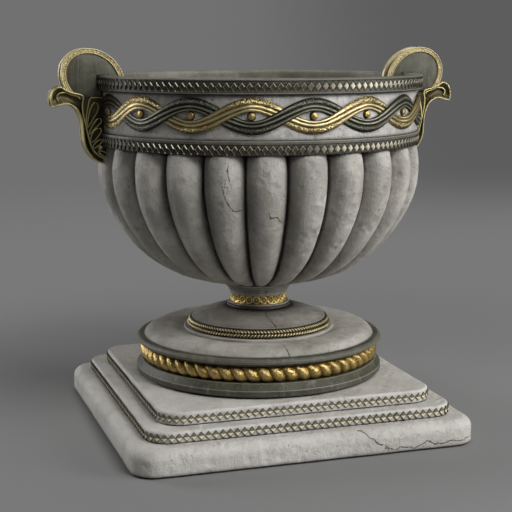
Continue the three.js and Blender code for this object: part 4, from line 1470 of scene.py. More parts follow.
@dataclass
class Bowl:
    """The gadrooned body with its ringed neck, and the dark, pale and dark bands over it."""

    widest: float = 320.24
    top: float = 349.94
    band_top: float = 365.6
    frieze_top: float = 416.04
    gadroons: int = 24
    gadroon_depth: float = 20.0
    roundness: float = 0.96
    cavity_radius: float = 171.0
    cavity_depth: float = 130.0
    cavity_floor: float = 191.5
    floor_radius: float = 24.0
    throat_radius: float = 172.0
    frieze_radius: float = 196.5
    lower_band_radius: float = 198.9
    lower_strip_seat: float = 197.6
    lower_strip_top: float = 361.6
    rim_radius: float = 202.4
    rim_strip_seat: float = 200.9
    rim_strip_bottom: float = 418.2
    rim_strip_top: float = 430.8
    strip_gap: float = 0.4
    mouth_radius: float = 188.6
    mouth_roll: float = 4.4
    lattice_cells: int = 149

    NECK_RINGS: tuple[float, ...] = (164.2, 166.6, 169.0, 171.5)
    CRACKS: tuple[Crack, ...] = (
        ((-85.6, -163.4, 346.5), (-92.3, -174.9, 333.6), (-89.6, -176.3, 319.0)),
        (
            (-99.0, -173.7, 316.0), (-97.7, -173.7, 312.6), (-94.0, -173.1, 299.6), (-86.2, -171.4, 288.4),
            (-79.9, -170.1, 285.8), (-70.0, -167.0, 288.6),
        ),
        ((-49.5, -187.5, 288.0), (-46.8, -185.6, 280.0), (-38.6, -185.5, 280.2), (-30.7, -180.2, 274.0)),
        ((-12.0, -58.0, 179.0), (-2.4, -38.1, 165.6), (-1.0, -36.5, 161.0)),
    )

    def crest(self) -> Array:
        """The body's outline over the lobes' crests, from the neck to the top."""
        return smooth_curve([
            (51.0, 175.2), (56.5, 176.7), (71.5, 179.9), (89.8, 184.5), (103.8, 189.1), (115.7, 194.3),
            (137.6, 208.3), (155.9, 224.3), (170.8, 242.3), (183.6, 262.3), (192.8, 282.3), (198.4, 302.3),
            (200.0, 320.3), (199.4, 334.3), (197.8, 343.3), (196.4, 349.94),
        ], 100)

    def neck(self) -> Array:
        """The neck's hollow outline up to the lobes, with four fine rings cut into it."""
        outline = smooth_curve([
            (36.4, COLLAR_TOP), (36.9, 163.0), (38.8, 166.5), (41.8, 169.8), (46.0, 172.9),
            (51.0, 175.2),
        ], 36)[:-1]
        for ring in self.NECK_RINGS:
            outline[:, 0] -= 0.6 * np.exp(-(((outline[:, 1] - ring) / 0.45) ** 2))
        return outline

    def inside(self) -> Array:
        """The outline of the throat, the cavity and its floor, then down the bore to the collar."""
        swing = np.radians(np.linspace(90, 9, 22))
        across, up = self.cavity_radius * np.sin(swing), self.widest - self.cavity_depth * np.cos(swing)
        return np.array([
            (self.throat_radius, self.top),
            *zip(across, up),
            (self.floor_radius, self.cavity_floor),
            (BORE, self.cavity_floor),
            (BORE, STEM_BASE_TOP),
            (SPIGOT_RADIUS, STEM_BASE_TOP),
            (SPIGOT_RADIUS, COLLAR_TOP),
        ])

    def body(self) -> Piece:
        """The body: lobes of circular section round the crest outline.

        A lobe's point falls inwards from the crest, along the outline's normal, by the fall of a
        circle at its distance q from the lobe's middle. Across the lobe q runs from 0 to 1, and
        near both ends of the lobe the distance past its last full section is added at a right
        angle, which rounds the ends. Dirt and painted shade lie in the valleys, broader low down;
        painted shade lies on one flank of each lobe.
        """
        per_lobe = 24
        top_end_height, low_end_radius, low_end_length = 3.0, 67.0, 14.0
        step = np.sin(np.linspace(-1, 1, per_lobe, endpoint=False) * math.pi / 2)
        lobe = np.arange(self.gadroons)[:, None]
        angle = ((lobe + step[None, :] / 2) * TURN / self.gadroons).ravel()[None, :]
        across = np.tile(step, self.gadroons)[None, :]
        crest = self.crest()
        along = unit(np.gradient(crest, axis=0))
        normal = np.column_stack([along[:, 1], -along[:, 0]])
        radius, height = crest[:, :1], crest[:, 1:]
        top_end = 0.2 * np.clip((height - self.top) / top_end_height + 1, 0, 1)
        low_end = np.clip((low_end_radius - radius) / low_end_length, 0, 1)
        q = np.minimum(np.sqrt(across**2 + top_end**2 + low_end**2), 1)
        fall = round_fall(self.roundness * q) / round_fall(np.array(self.roundness))
        depth = self.gadroon_depth * np.minimum(1, 0.1 + 0.0046 * radius) * smoothstep(radius, 50.0, 78.0)
        lobe_height = np.minimum(height - depth * fall * normal[:, 1:], self.top)
        lobes = around(radius - depth * fall * normal[:, :1], lobe_height, angle)
        dents = 0.5 * ripple(lobes, 60, 3) + 0.5 * ripple(lobes, 19, 5)
        lobes = lobes + 0.5 * (dents[..., None] - 1) * around(1.0, 0.0, angle)
        neck, inside = self.neck(), self.inside()
        grid = np.concatenate([
            around(neck[:, :1], neck[:, 1:], angle), lobes, around(inside[:, :1], inside[:, 1:], angle),
        ])
        # Painted shade: darker low down, in the valleys, on one flank of each lobe, under the band at the
        # lobes' tops, on the neck and inside.
        low = smoothstep(height, 250, 175)
        groove = smoothstep(q, 0.76 - 0.24 * low, 0.97) * (0.80 + 0.15 * low)
        flank = (0.42 + 0.2 * low) * smoothstep(-across, 0.12, 0.78) * smoothstep(q, 0.1, 0.5)
        tops = 0.35 * smoothstep(height, self.top - 1.5, self.top)
        lobe_dirt_and_shade = np.maximum(np.maximum(groove, flank), np.maximum(0.22 * low, tops))
        rings = np.exp(-np.abs(neck[:, 1:] - np.array(self.NECK_RINGS)) / 0.5).max(axis=1, keepdims=True)
        neck_dirt_and_shade = np.maximum(rings, 0.25) + 0 * angle
        inner_shade = np.full((len(inside), angle.size), 0.3)
        layers = crack_layers(grid, self.CRACKS, around(1.0, 0.0, angle))
        layers[Layer.DIRT_AND_SHADE] = np.concatenate([neck_dirt_and_shade, lobe_dirt_and_shade, inner_shade])
        return surface("bowl_body", grid, loop_rows=True, layers=layers, crease=75)

    def wall(self, height: float) -> float:
        """Radius of the inner wall over the body, which opens evenly towards the mouth."""
        share = (height - self.top) / (RIM_TOP - self.mouth_roll - self.top)
        return self.throat_radius + (self.mouth_radius - self.throat_radius) * min(share, 1.0)

    def lower_band(self) -> Piece:
        """The dark band under the frieze, drawn in behind its strip of lattice."""
        radius, seat = self.lower_band_radius, self.lower_strip_seat
        outline = rounded([
            (self.wall(self.top), self.top, 0),
            (seat, self.top, 0.6),
            (seat, self.lower_strip_top, 0.3),
            (radius, self.lower_strip_top + 0.6, 0.5),
            (radius, self.band_top, 0.9),
            (self.wall(self.band_top), self.band_top, 0),
        ])
        # Dirt and painted shade where the band sits on the body and behind its strip of lattice.
        grime_and_shade = [GrimeAndShade(self.top, 1.2), GrimeAndShade(self.top + 6.0, 5.5, seat - 0.5)]
        return turned("lower_band_stone", outline, 300, grime_and_shade)

    def frieze(self) -> Piece:
        """The pale band that carries the interlace."""
        outline = np.array([
            (self.wall(self.band_top), self.band_top), (self.frieze_radius, self.band_top),
            (self.frieze_radius, self.frieze_top), (self.wall(self.frieze_top), self.frieze_top),
        ])
        # Painted shade where the frieze meets the bands, under the rim at its top.
        grime_and_shade = [GrimeAndShade(self.band_top, 1.3), GrimeAndShade(self.frieze_top, 0.4)]
        return turned("frieze_stone", outline, 360, grime_and_shade, uneven=0.1)

    def rim(self) -> Piece:
        """The dark rim, drawn in behind its strip of lattice and rounded over to the mouth."""
        radius, seat = self.rim_radius, self.rim_strip_seat
        outline = rounded([
            (self.wall(self.frieze_top), self.frieze_top, 0),
            (seat, self.frieze_top, 0.9),
            (seat + 0.8, self.rim_strip_bottom - 0.6, 0.4),
            (seat, self.rim_strip_bottom, 0.3),
            (seat, self.rim_strip_top, 0.3),
            (radius, self.rim_strip_top + 0.4, 0.5),
            (radius - 0.3, RIM_TOP - 1.0, 1.3),
            (radius - 4.4, RIM_TOP, 2.0),
            (self.mouth_radius, RIM_TOP, 4.0),
            (self.mouth_radius - 0.2, RIM_TOP - 9.0, 2.0),
        ])
        # Dirt and painted shade over the frieze and behind the strip of lattice.
        grime_and_shade = [GrimeAndShade(self.frieze_top, 1.0), GrimeAndShade(self.frieze_top + 8.5, 5.5, seat - 0.5)]
        return turned("rim_stone", outline, 300, grime_and_shade)

    def build(self) -> None:
        """Makes and dresses the body, the bands and their strips."""
        dress(self.body(), PaleStone(), "bowl")
        band_stone = DarkStone(
            name="band_stone", deep=(0.10, 0.096, 0.072), grey=(0.20, 0.192, 0.15), worn_and_highlight=(0.38, 0.365, 0.30),
        )
        dress(self.lower_band(), band_stone, "lower_band")
        dress(self.frieze(), PaleStone(name="frieze_stone", light=(0.64, 0.62, 0.59)), "frieze")
        rim_stone = replace(
            band_stone, name="rim_stone", deep=(0.125, 0.12, 0.088), grey=(0.245, 0.235, 0.182)
        )
        dress(self.rim(), rim_stone, "rim")
        strips = (
            ("lower_band", self.top + 0.1, 11.9, self.lower_strip_seat),
            ("rim", self.frieze_top + 2.8, 11.6, self.rim_strip_seat),
        )
        for place, bottom, height, seat in strips:
            strip = lattice(
                f"{place}_diamonds", BAND_CELL, self.lattice_cells, bottom, height,
                round_wall(seat + self.strip_gap), painted_side_light,
            )
            dress(strip, LatticeMetal(), f"{place}_lattice")


# The interlace on the frieze


@dataclass
class Interlace:
    """Two ribbed strands that wave round the frieze over and under each other, with a boss in each eye."""

    frieze_radius: float = 196.8
    middle: float = 392.64
    eyes: int = 18
    width: float = 15.2
    thickness: float = 3.0
    amplitude: float = 12.6
    crossing_half_angle: float = 5.6
    crossing_lift: float = 2.9
    boss_radius: float = 4.9
    boss_height: float = 3.6

    def over_share(self, degrees: Array) -> Array:
        """Share of the way outwards, at an angle from a crossing where the strand passes over."""
        half_wave = 360 / self.eyes
        folded = np.abs((degrees + 3 * half_wave) % (2 * half_wave) - half_wave)
        return 1 - smoothstep(folded, self.crossing_half_angle, half_wave - self.crossing_half_angle)

    @staticmethod
    def relief(degrees: Array) -> Array:
        """Share of its full relief that the interlace has: it flattens towards the handles."""
        from_handle = np.abs((degrees % 180) - 90)
        return 0.14 + 0.86 * smoothstep(from_handle, 15, 42)

    def strand(self, name: str, phase_degrees: float) -> Piece:
        """One strand.

        Its middle line waves by a cosine. Its section is three ribs on a crowned band. The rib
        on the outer side of each bend is broad, because the place v across the strand, from -1
        to 1, reads its rib at v + 0.3 c (1 - v^2), where c is the cosine of the wave.

        Args:
            name: The object's name.
            phase_degrees: 0 for a strand with its crest on the front eye, 180 for its trough.

        Returns:
            The object.
        """
        waves = self.eyes // 2
        count = waves * 96
        degrees = np.arange(count) / count * 360
        phase = np.radians(waves * degrees + phase_degrees)
        slope = -self.amplitude * waves * np.sin(phase) / self.frieze_radius
        lean = np.arctan(slope)[:, None]
        lift = self.crossing_lift * self.over_share(degrees + phase_degrees / waves + 90 / waves)
        relief = self.relief(degrees)[:, None]
        v = np.sin(np.linspace(-math.pi / 2, math.pi / 2, 31))[None, :]
        bend = np.cos(phase)[:, None]
        ribbed = v + 0.3 * bend * (1 - v**2)
        rib = np.abs(np.sin((ribbed + 1) * 1.5 * math.pi)) ** 0.6
        crown = np.sqrt(np.maximum(1 - (v * 0.985) ** 2, 0)) ** 0.55
        out = self.thickness * crown * (0.38 + 0.62 * rib)
        side = v * self.width / 2 + 0 * lean
        radius = self.frieze_radius + relief * (lift[:, None] + out)
        angle = np.radians(degrees)[:, None] - side * np.sin(lean) / self.frieze_radius
        height = self.middle + self.amplitude * bend + side * np.cos(lean)
        front = around(radius, height, angle)
        under_radius = self.frieze_radius + relief * lift[:, None] + 0 * side
        back = around(under_radius[:, [0, -1]], height[:, [-1, 0]], angle[:, [-1, 0]])
        outer_side = smoothstep(v * np.sign(bend), -0.05, 0.35) * np.abs(bend) ** 0.5
        # Dirt and painted shade between the ribs, painted highlights on the ribs' tops, weaker on the outer
        # side of each bend.
        dirt_and_shade = np.clip(1.15 - 1.4 * rib, 0, 1) * (np.abs(v) < 0.95)
        edge = np.clip(rib - 0.8, 0, 1) * 3.6 * (0.45 + 0.55 * (1 - outer_side))
        layers = {Layer.DIRT_AND_SHADE: dirt_and_shade, Layer.EDGE: edge, Layer.GRAIN: outer_side}
        grid, layers = backed(front, back, layers, axis=1)
        return surface(name, grid, loop_rows=True, layers=layers, crease=80)

    def boss(self, number: int) -> Piece:
        """The round boss in an eye: a ring round a domed middle."""
        share = np.concatenate([[1.0, 1.0], np.linspace(0.98, 0.02, 18)])[:, None]
        swing = round_angles(24)
        ring = np.exp(-(((share - 0.78) / 0.16) ** 2))
        dome = np.sqrt(np.maximum(1 - (share / 0.85) ** 2, 0))
        out = self.boss_height * (0.15 + 0.2 * ring + 0.85 * dome)
        out[0] = -0.4
        out[1] = 0.5
        out = out * (0.3 + 0.7 * self.relief(np.array((number - 1) / self.eyes * 360)))
        along = self.boss_radius * share * np.cos(swing)
        up = self.boss_radius * share * np.sin(swing)
        angle = (number - 1) / self.eyes * TURN + along / self.frieze_radius
        grid = around(self.frieze_radius + out + 0 * swing, self.middle + up, angle)
        # Painted shade round the dome's foot, painted highlight on its top.
        layers = {
            Layer.DIRT_AND_SHADE: np.clip(0.9 - 1.5 * dome, 0, 1) + 0 * swing,
            Layer.EDGE: np.clip(dome - 0.8, 0, 1) + 0 * swing,
        }
        return surface(f"eye_boss_{number:02d}", grid, layers=layers, crease=80)

    def build(self) -> None:
        """Makes and dresses both strands and the bosses."""
        gold = Gilding(
            name="gilt_strand", gold=(0.58, 0.43, 0.15), bright=(0.90, 0.86, 0.64),
            tarnish=(0.15, 0.09, 0.015), roughness=0.38,
        )
        dress(self.strand("gold_strand", 180), gold, "guilloche_gold")
        black = DarkBronze(
            name="black_strand", patina=(0.010, 0.011, 0.006), olive=(0.034, 0.035, 0.02),
            rubbed_and_highlight=(0.46, 0.45, 0.33),
        )
        dress(self.strand("black_strand", 0), black, "guilloche_dark")
        for number in range(1, self.eyes + 1):
            dress(self.boss(number), gold, f"eye_stud_{number:02d}")


# The handles


@dataclass
class Handle:
    """One handle: a channelled arm with a curled lip and leaves, under an oval drum astride the rim."""

    side: Side
    half_thickness: float = 11.4
    drum_centre: tuple[float, float] = (208.0, 430.0)
    drum_long: float = 39.8
    drum_short: float = 33.6
    drum_tilt: float = math.radians(34.6)
    rim_width: float = 6.4
    arm_top: float = 408.3
    slot_outer: float = 203.5
    slot_inner: float = 198.2
    slot_bottom: float = 415.8
    mouth_face: float = 187.9
    toe_reach: float = 212.0
    ball_radius: float = 3.1

    UNDER: Outline = (
        (256.0, 398.2), (250.4, 399.2), (244.4, 400.8), (238.2, 400.9), (232.8, 398.6), (227.6, 394.2),
        (223.9, 387.4), (221.6, 379.9), (220.8, 372.0), (220.2, 363.5), (219.6, 355.6), (217.2, 347.6),
        (212.9, 339.9), (207.6, 334.2), (202.4, 331.6), (196.5, 330.6), (190.1, 331.5), (183.9, 334.7),
    )
    CREST: Outline = (
        (257.2, 406.6), (256.8, 410.6), (255.4, 414.6), (253.0, 417.9), (250.0, 419.9), (246.8, 420.3),
        (244.2, 419.3), (240.0, 416.5), (233.6, 413.8), (227.0, 412.3), (222.6, 411.2), (220.0, 408.4),
        (221.0, 401.8), (221.3, 396.0), (220.6, 388.4), (219.2, 381.5), (217.6, 374.1), (216.0, 366.4),
        (214.2, 358.6), (211.8, 350.6), (208.6, 344.5), (203.6, 339.6), (197.0, 336.2), (188.0, 333.2),
    )
    LOOP: Outline = (
        (217.6, 375.0), (217.2, 382.6), (216.1, 390.5), (214.6, 398.4), (212.8, 405.0), (210.6, 407.9),
    )
    RIDGE: Outline = (
        (223.4, 406.4), (225.6, 409.0), (229.6, 410.4), (233.8, 411.7), (239.6, 413.9), (245.2, 413.8),
        (249.4, 411.9), (251.0, 408.0), (249.0, 404.0),
    )
    LEAFLETS: tuple[tuple[Outline, Outline], ...] = (
        (
            ((205.5, 402.8), (202.4, 399.1), (202.2, 394.0), (205.0, 388.3), (209.7, 381.9), (216.2, 371.9)),
            ((205.5, 402.8), (210.5, 400.2), (214.0, 394.0), (215.6, 387.0), (216.4, 379.4), (216.2, 371.9)),
        ),
        (
            ((202.3, 383.6), (199.0, 381.7), (200.6, 377.4), (205.5, 373.1), (210.0, 368.9), (214.2, 364.0)),
            ((202.3, 383.6), (206.6, 381.8), (210.8, 376.4), (213.2, 370.9), (214.6, 367.4), (214.2, 364.0)),
        ),
        (
            ((202.8, 372.5), (199.0, 369.4), (200.5, 365.2), (203.9, 361.3), (207.4, 357.6), (211.8, 354.4)),
            ((202.8, 372.5), (207.8, 370.6), (211.4, 366.9), (213.0, 362.6), (213.4, 358.4), (211.8, 354.4)),
        ),
        (
            ((200.6, 358.7), (198.2, 356.6), (201.2, 353.2), (205.2, 350.2), (209.4, 347.4)),
            ((200.6, 358.7), (204.8, 357.4), (208.4, 354.6), (210.4, 351.2), (209.4, 347.4)),
        ),
        (
            ((203.8, 345.4), (198.4, 344.9), (193.8, 342.6), (189.3, 338.7), (185.4, 332.8)),
            ((203.8, 345.4), (202.6, 341.5), (197.3, 338.2), (191.4, 335.1), (185.4, 332.8)),
        ),
    )
    BALL: tuple[float, float] = (201.2, 348.9)
    DISC_MIDDLE: tuple[float, float] = (207.0, 438.3)
    RIM_PROFILE: Outline = (
        (0.3, 6.5), (0.0, 7.6), (0.0, 10.4), (0.3, 11.3), (0.9, 11.75), (1.6, 11.4), (2.0, 10.7), (2.7, 10.8),
        (3.9, 10.8), (4.6, 10.6), (5.0, 11.1), (5.5, 11.4), (6.0, 11.1), (6.4, 10.4), (6.4, 6.5),
    )

    @property
    def label(self) -> str:
        """The side's name."""
        return self.side.name.lower()

    def settle(self, grid: Array) -> Array:
        """Takes points of the right handle to this side, by a half turn for the left one."""
        cosine, sine = math.cos(self.side.value), math.sin(self.side.value)
        x, y, z = np.moveaxis(grid, -1, 0)
        return np.stack([x * cosine - y * sine, x * sine + y * cosine, z], axis=-1)

    def arm(self) -> Piece:
        """The channel between the lower edge and the crest line.

        Each row is a ring: across the front face the thickness dips between the two edges by a
        power of the sine, the back mirrors it, and two narrow flat sides join them.
        """
        rows, deepest = 90, 5.6
        under = smooth_curve(self.UNDER, rows)
        crest = smooth_curve(self.CREST, rows)
        v = np.linspace(0, 1, 13)
        wide = np.linalg.norm(crest - under, axis=1)[:, None]
        dip = np.minimum(deepest, 0.24 * wide) * np.sin(v * math.pi) ** 1.2
        grid = both_faces(between_lines(under, crest, v), self.half_thickness - 0.8 - dip)
        # Painted highlights along both edges of the channel.
        shine = 0.8 * np.abs(2 * v - 1) ** 10
        layers = {Layer.EDGE: np.tile(shine, (rows, 2))}
        return surface(f"{self.label}_arm_channel", self.settle(grid), layers=layers, crease=50)

    def panel(self) -> Piece:
        """The flat ground behind the leaves, between the crest line and the vase."""
        rows = 60
        crest = smooth_curve(self.CREST[11:], rows)
        inner = smooth_curve([
            (190.0, 408.1), (190.0, 400.3), (190.0, 382.3), (190.0, 364.3), (190.0, 352.3), (186.0, 342.3),
            (181.0, 335.3),
        ], rows)
        flat = between_lines(inner, crest, np.linspace(0, 1, 6))
        grid = self.settle(both_faces(flat, self.half_thickness - 0.6))
        # The ground is painted dark, as shade behind the leaves.
        return surface(f"{self.label}_leaf_ground", grid, layers={Layer.DIRT_AND_SHADE: np.full(grid.shape[:2], 0.55)})

    def beads(self) -> Piece:
        """Gilt lines on both faces, each at its depth and of its radius, with the leaves' rims and a ball."""
        tip = [(257.1, 402.0)]
        beads = (
            ("edge", smooth_curve([*self.UNDER[::-1], *tip, *self.CREST], 220), 10.8, 1.05),
            ("ridge", smooth_curve(self.RIDGE, 60), 8.4, 1.2),
            ("loop", smooth_curve(self.LOOP, 40), 11.3, 0.8),
            ("bar", smooth_curve([(196.4, 407.6), (203.0, 407.9), (211.0, 407.9)], 12), 11.0, 0.9),
        )
        lines = []
        # Each gilt line and the ball carry a painted highlight.
        for face in (-1, 1):
            for label, line, depth, radius in beads:
                path = self.settle(standing(line, face * depth))
                lines.append(bead_line(f"{label}_{face}", path, radius, 0.4))
            for inner, outer in self.LEAFLETS:
                for across in (-0.8, 0.8):
                    ridge = self.leaf_grid(inner, outer, np.array([across]))[1:-1, 0] - (0.0, 0.1, 0.0)
                    path = self.settle(ridge * (1.0, face, 1.0))
                    lines.append(bead_line(f"leaf_{face}", path, 0.62, 0.5, 6))
            lines.append(self.ball(face))
        return joined(f"{self.label}_gilt_lines", lines)

    def ball(self, face: int) -> Piece:
        """The small ball over the tail leaf."""
        angle = round_angles(16)
        tilt = np.radians(np.linspace(-86, 86, 13))[:, None]
        radius = self.ball_radius * np.cos(tilt)
        x = self.BALL[0] + radius * np.cos(angle)
        z = self.BALL[1] + radius * np.sin(angle)
        y = face * (self.half_thickness + 1.0 + self.ball_radius * np.sin(tilt)) + 0 * angle
        grid = self.settle(np.stack([x, y, z], axis=-1))
        return surface("ball", grid, layers={Layer.EDGE: np.full(y.shape, 0.4)}, crease=80)

    def leaf_grid(self, inner: Outline, outer: Outline, w: Array) -> Array:
        """Places on a leaflet, whose middle is hollow and whose rims stand out.

        Across the leaflet, at w from -1 to 1, the relief rises from the middle to the rims with
        the square of the distance, then falls to the ground. Along it the relief swells by a sine.

        Args:
            inner: The outline on the vase's side, from the tip to the root.
            outer: The outline on the lip's side.
            w: Places across.

        Returns:
            Places with Y as the distance out of the arm's middle plane.
        """
        rows, crown = 26, 0.84
        place = np.abs(w)
        rim = np.where(place > 0.99, 0.0, 0.2 + 0.8 * (place / crown) ** 2.0)
        rim = np.where(place > crown, rim * 0.7, rim)
        swell = np.sin(np.linspace(0.12, 0.94, rows) * math.pi) ** 0.5
        out = self.half_thickness - 1.2 + 5.0 * rim[None, :] * swell[:, None]
        flat = between_lines(smooth_curve(inner, rows), smooth_curve(outer, rows), (w + 1) / 2)
        return standing(flat, out)

    def leaflet(self, inner: Outline, outer: Outline, face: int) -> Piece:
        """One leaflet on one face of the arm, closed at its back."""
        w = np.linspace(-1, 1, 13)
        front = self.leaf_grid(inner, outer, w)
        back = front[:, [-1, 0]].copy()
        back[..., 1] = self.half_thickness - 1.8
        # Painted highlights on the leaflet's rims and painted shade in its hollow middle.
        shine = 0.8 * np.exp(-(((np.abs(w) - 0.8) / 0.16) ** 2))
        dark = 0.35 * np.exp(-((w / 0.5) ** 2))
        grid, layers = backed(front, back, {Layer.EDGE: shine, Layer.DIRT_AND_SHADE: dark}, axis=1)
        return surface("leaflet", self.settle(grid * (1.0, face, 1.0)), layers=layers, crease=60)

    def leaves(self) -> Piece:
        """All the leaflets of both faces."""
        parts = [self.leaflet(inner, outer, face) for face in (-1, 1) for inner, outer in self.LEAFLETS]
        return joined(f"{self.label}_leaves", parts)

    def oval(self, inset: float | Array, angle: Array) -> Array:
        """Points of the leaning oval, drawn in by an inset, at angles from its long axis."""
        along = (self.drum_long - inset) * np.cos(angle)
        beside = (self.drum_short - inset) * np.sin(angle)
        cosine, sine = math.cos(self.drum_tilt), math.sin(self.drum_tilt)
        x = self.drum_centre[0] + along * cosine - beside * sine
        z = self.drum_centre[1] + along * sine + beside * cosine
        return np.stack(np.broadcast_arrays(x, z), axis=-1)

    def arc(self, inset: float) -> Array:
        """The oval from the arm's upper edge over the top and down to the toe inside the mouth."""
        fine = np.linspace(-math.pi / 2, 1.5 * math.pi, 1441)
        line = self.oval(inset, fine)
        lip_start, lip_slope = 213.0, 0.295
        lip = self.arm_top + 0.3 + np.maximum(0, line[:, 0] - lip_start) * lip_slope
        toe = self.arm_top + 2.8
        clear = line[:, 1] > np.where(line[:, 0] > self.drum_centre[0], lip, toe)
        kept = np.flatnonzero(clear)
        return self.oval(inset, np.linspace(fine[kept[0]], fine[kept[-1]], 96))

    def disc(self, name: str, inset: float, half: float) -> Piece:
        """A plate of the drum's outline, with a slot below for the rim and softened edges.

        Args:
            name: The object's name.
            inset: How far the plate's oval is drawn in.
            half: Half the plate's thickness.

        Returns:
            The object.
        """
        soft = 0.7
        arc = self.arc(inset)
        outline = np.array([
            (self.slot_outer, RIM_TOP + 0.3),
            (self.slot_outer, self.slot_bottom),
            (self.slot_inner, self.slot_bottom),
            (self.slot_inner, self.arm_top + 0.3),
            (self.toe_reach, self.arm_top + 0.3),
            *arc,
            (self.mouth_face - 4.7, arc[-1, 1]),
            (self.mouth_face - 0.5, RIM_TOP - 6.0),
            (self.mouth_face, RIM_TOP + 0.3),
        ])
        shrunk = outline + soft * unit(np.array(self.DISC_MIDDLE) - outline)
        rows = [(shrunk, -half), (outline, -half + soft), (outline, half - soft), (shrunk, half)]
        grid = np.stack([standing(line, y) for line, y in rows])
        return surface(name, self.settle(grid), crease=50)

    def drum(self) -> Piece:
        """The drum: a web that shows between the rims, and a boss that fills them."""
        web = self.disc("web", 3.6, 6.6)
        boss = self.disc("boss", self.rim_width + 0.1, 9.9)
        return joined(f"{self.label}_drum_stone", [web, boss])

    def drum_rim(self, face: int, name: str) -> Piece:
        """A gilt rim: a granular band between an outer and an inner bead, along the oval."""
        rows = [standing(self.arc(inset), face * out) for inset, out in self.RIM_PROFILE]
        grid = self.settle(np.stack(rows, axis=1))
        inset = np.array(self.RIM_PROFILE)[:, 0]
        # Painted highlights on the beads; dirt and painted shade on the granular band.
        beads = np.exp(-(((inset - 0.8) / 0.8) ** 2)) + 0.6 * np.exp(-(((inset - 5.5) / 0.5) ** 2))
        grain = ((inset > 1.8) & (inset < 4.8)).astype(float)
        values = {Layer.EDGE: beads, Layer.GRAIN: grain * 0.6, Layer.DIRT_AND_SHADE: grain * 0.12}
        layers = {layer: np.tile(across, (len(grid), 1)) for layer, across in values.items()}
        return surface(name, grid, layers=layers, crease=60)

    def build(self) -> None:
        """Makes and dresses the handle's pieces."""
        bronze = DarkBronze(
            name="arm_bronze", patina=(0.045, 0.038, 0.016), olive=(0.12, 0.10, 0.036),
            rubbed_and_highlight=(0.62, 0.54, 0.26),
        )
        line_gilt = Gilding(
            name="line_gilt", gold=(0.50, 0.41, 0.16), bright=(0.88, 0.80, 0.48), tarnish=(0.15, 0.12, 0.035),
        )
        face_stone = DarkStone(
            name="drum_stone", deep=(0.06, 0.059, 0.04), grey=(0.135, 0.13, 0.092), streak=(220, 220, 18),
            worn_and_highlight=(0.25, 0.24, 0.185), roughness=0.6,
        )
        dress(self.arm(), bronze, f"{self.label}_handle_arm")
        dress(self.panel(), bronze)
        dress(self.leaves(), bronze)
        dress(self.beads(), line_gilt)
        dress(self.drum(), face_stone, f"{self.label}_handle_drum")
        rim_gilt = Gilding(
            name="rim_gilt", gold=(0.80, 0.65, 0.33), bright=(0.93, 0.86, 0.58), tarnish=(0.36, 0.27, 0.10),
            metal=0.35,
        )
        for place, face in (("front", -1), ("back", 1)):
            local_face = face if self.side is Side.RIGHT else -face
            rim = self.drum_rim(local_face, f"{self.label}_{place}_rim_band")
            dress(rim, rim_gilt, f"{self.label}_handle_{place}_rim")


# Hardware inside


@dataclass
class Hardware:
    """The tie rod, nuts, washers, pins and bolts, which keep their own solids."""

    def build(self) -> None:
        """Gives each solid that stays the plain steel finish."""
        kept = [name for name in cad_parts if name.startswith("tie_rod")]
        kept += [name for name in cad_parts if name.endswith(("_pin", "_bolt"))]
        for name in kept:
            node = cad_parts[name]
            node.data.materials.clear()
            node.data.materials.append(material_of(Steel()))
            LOG.info("%s: kept solid, steel", name)


# The studio


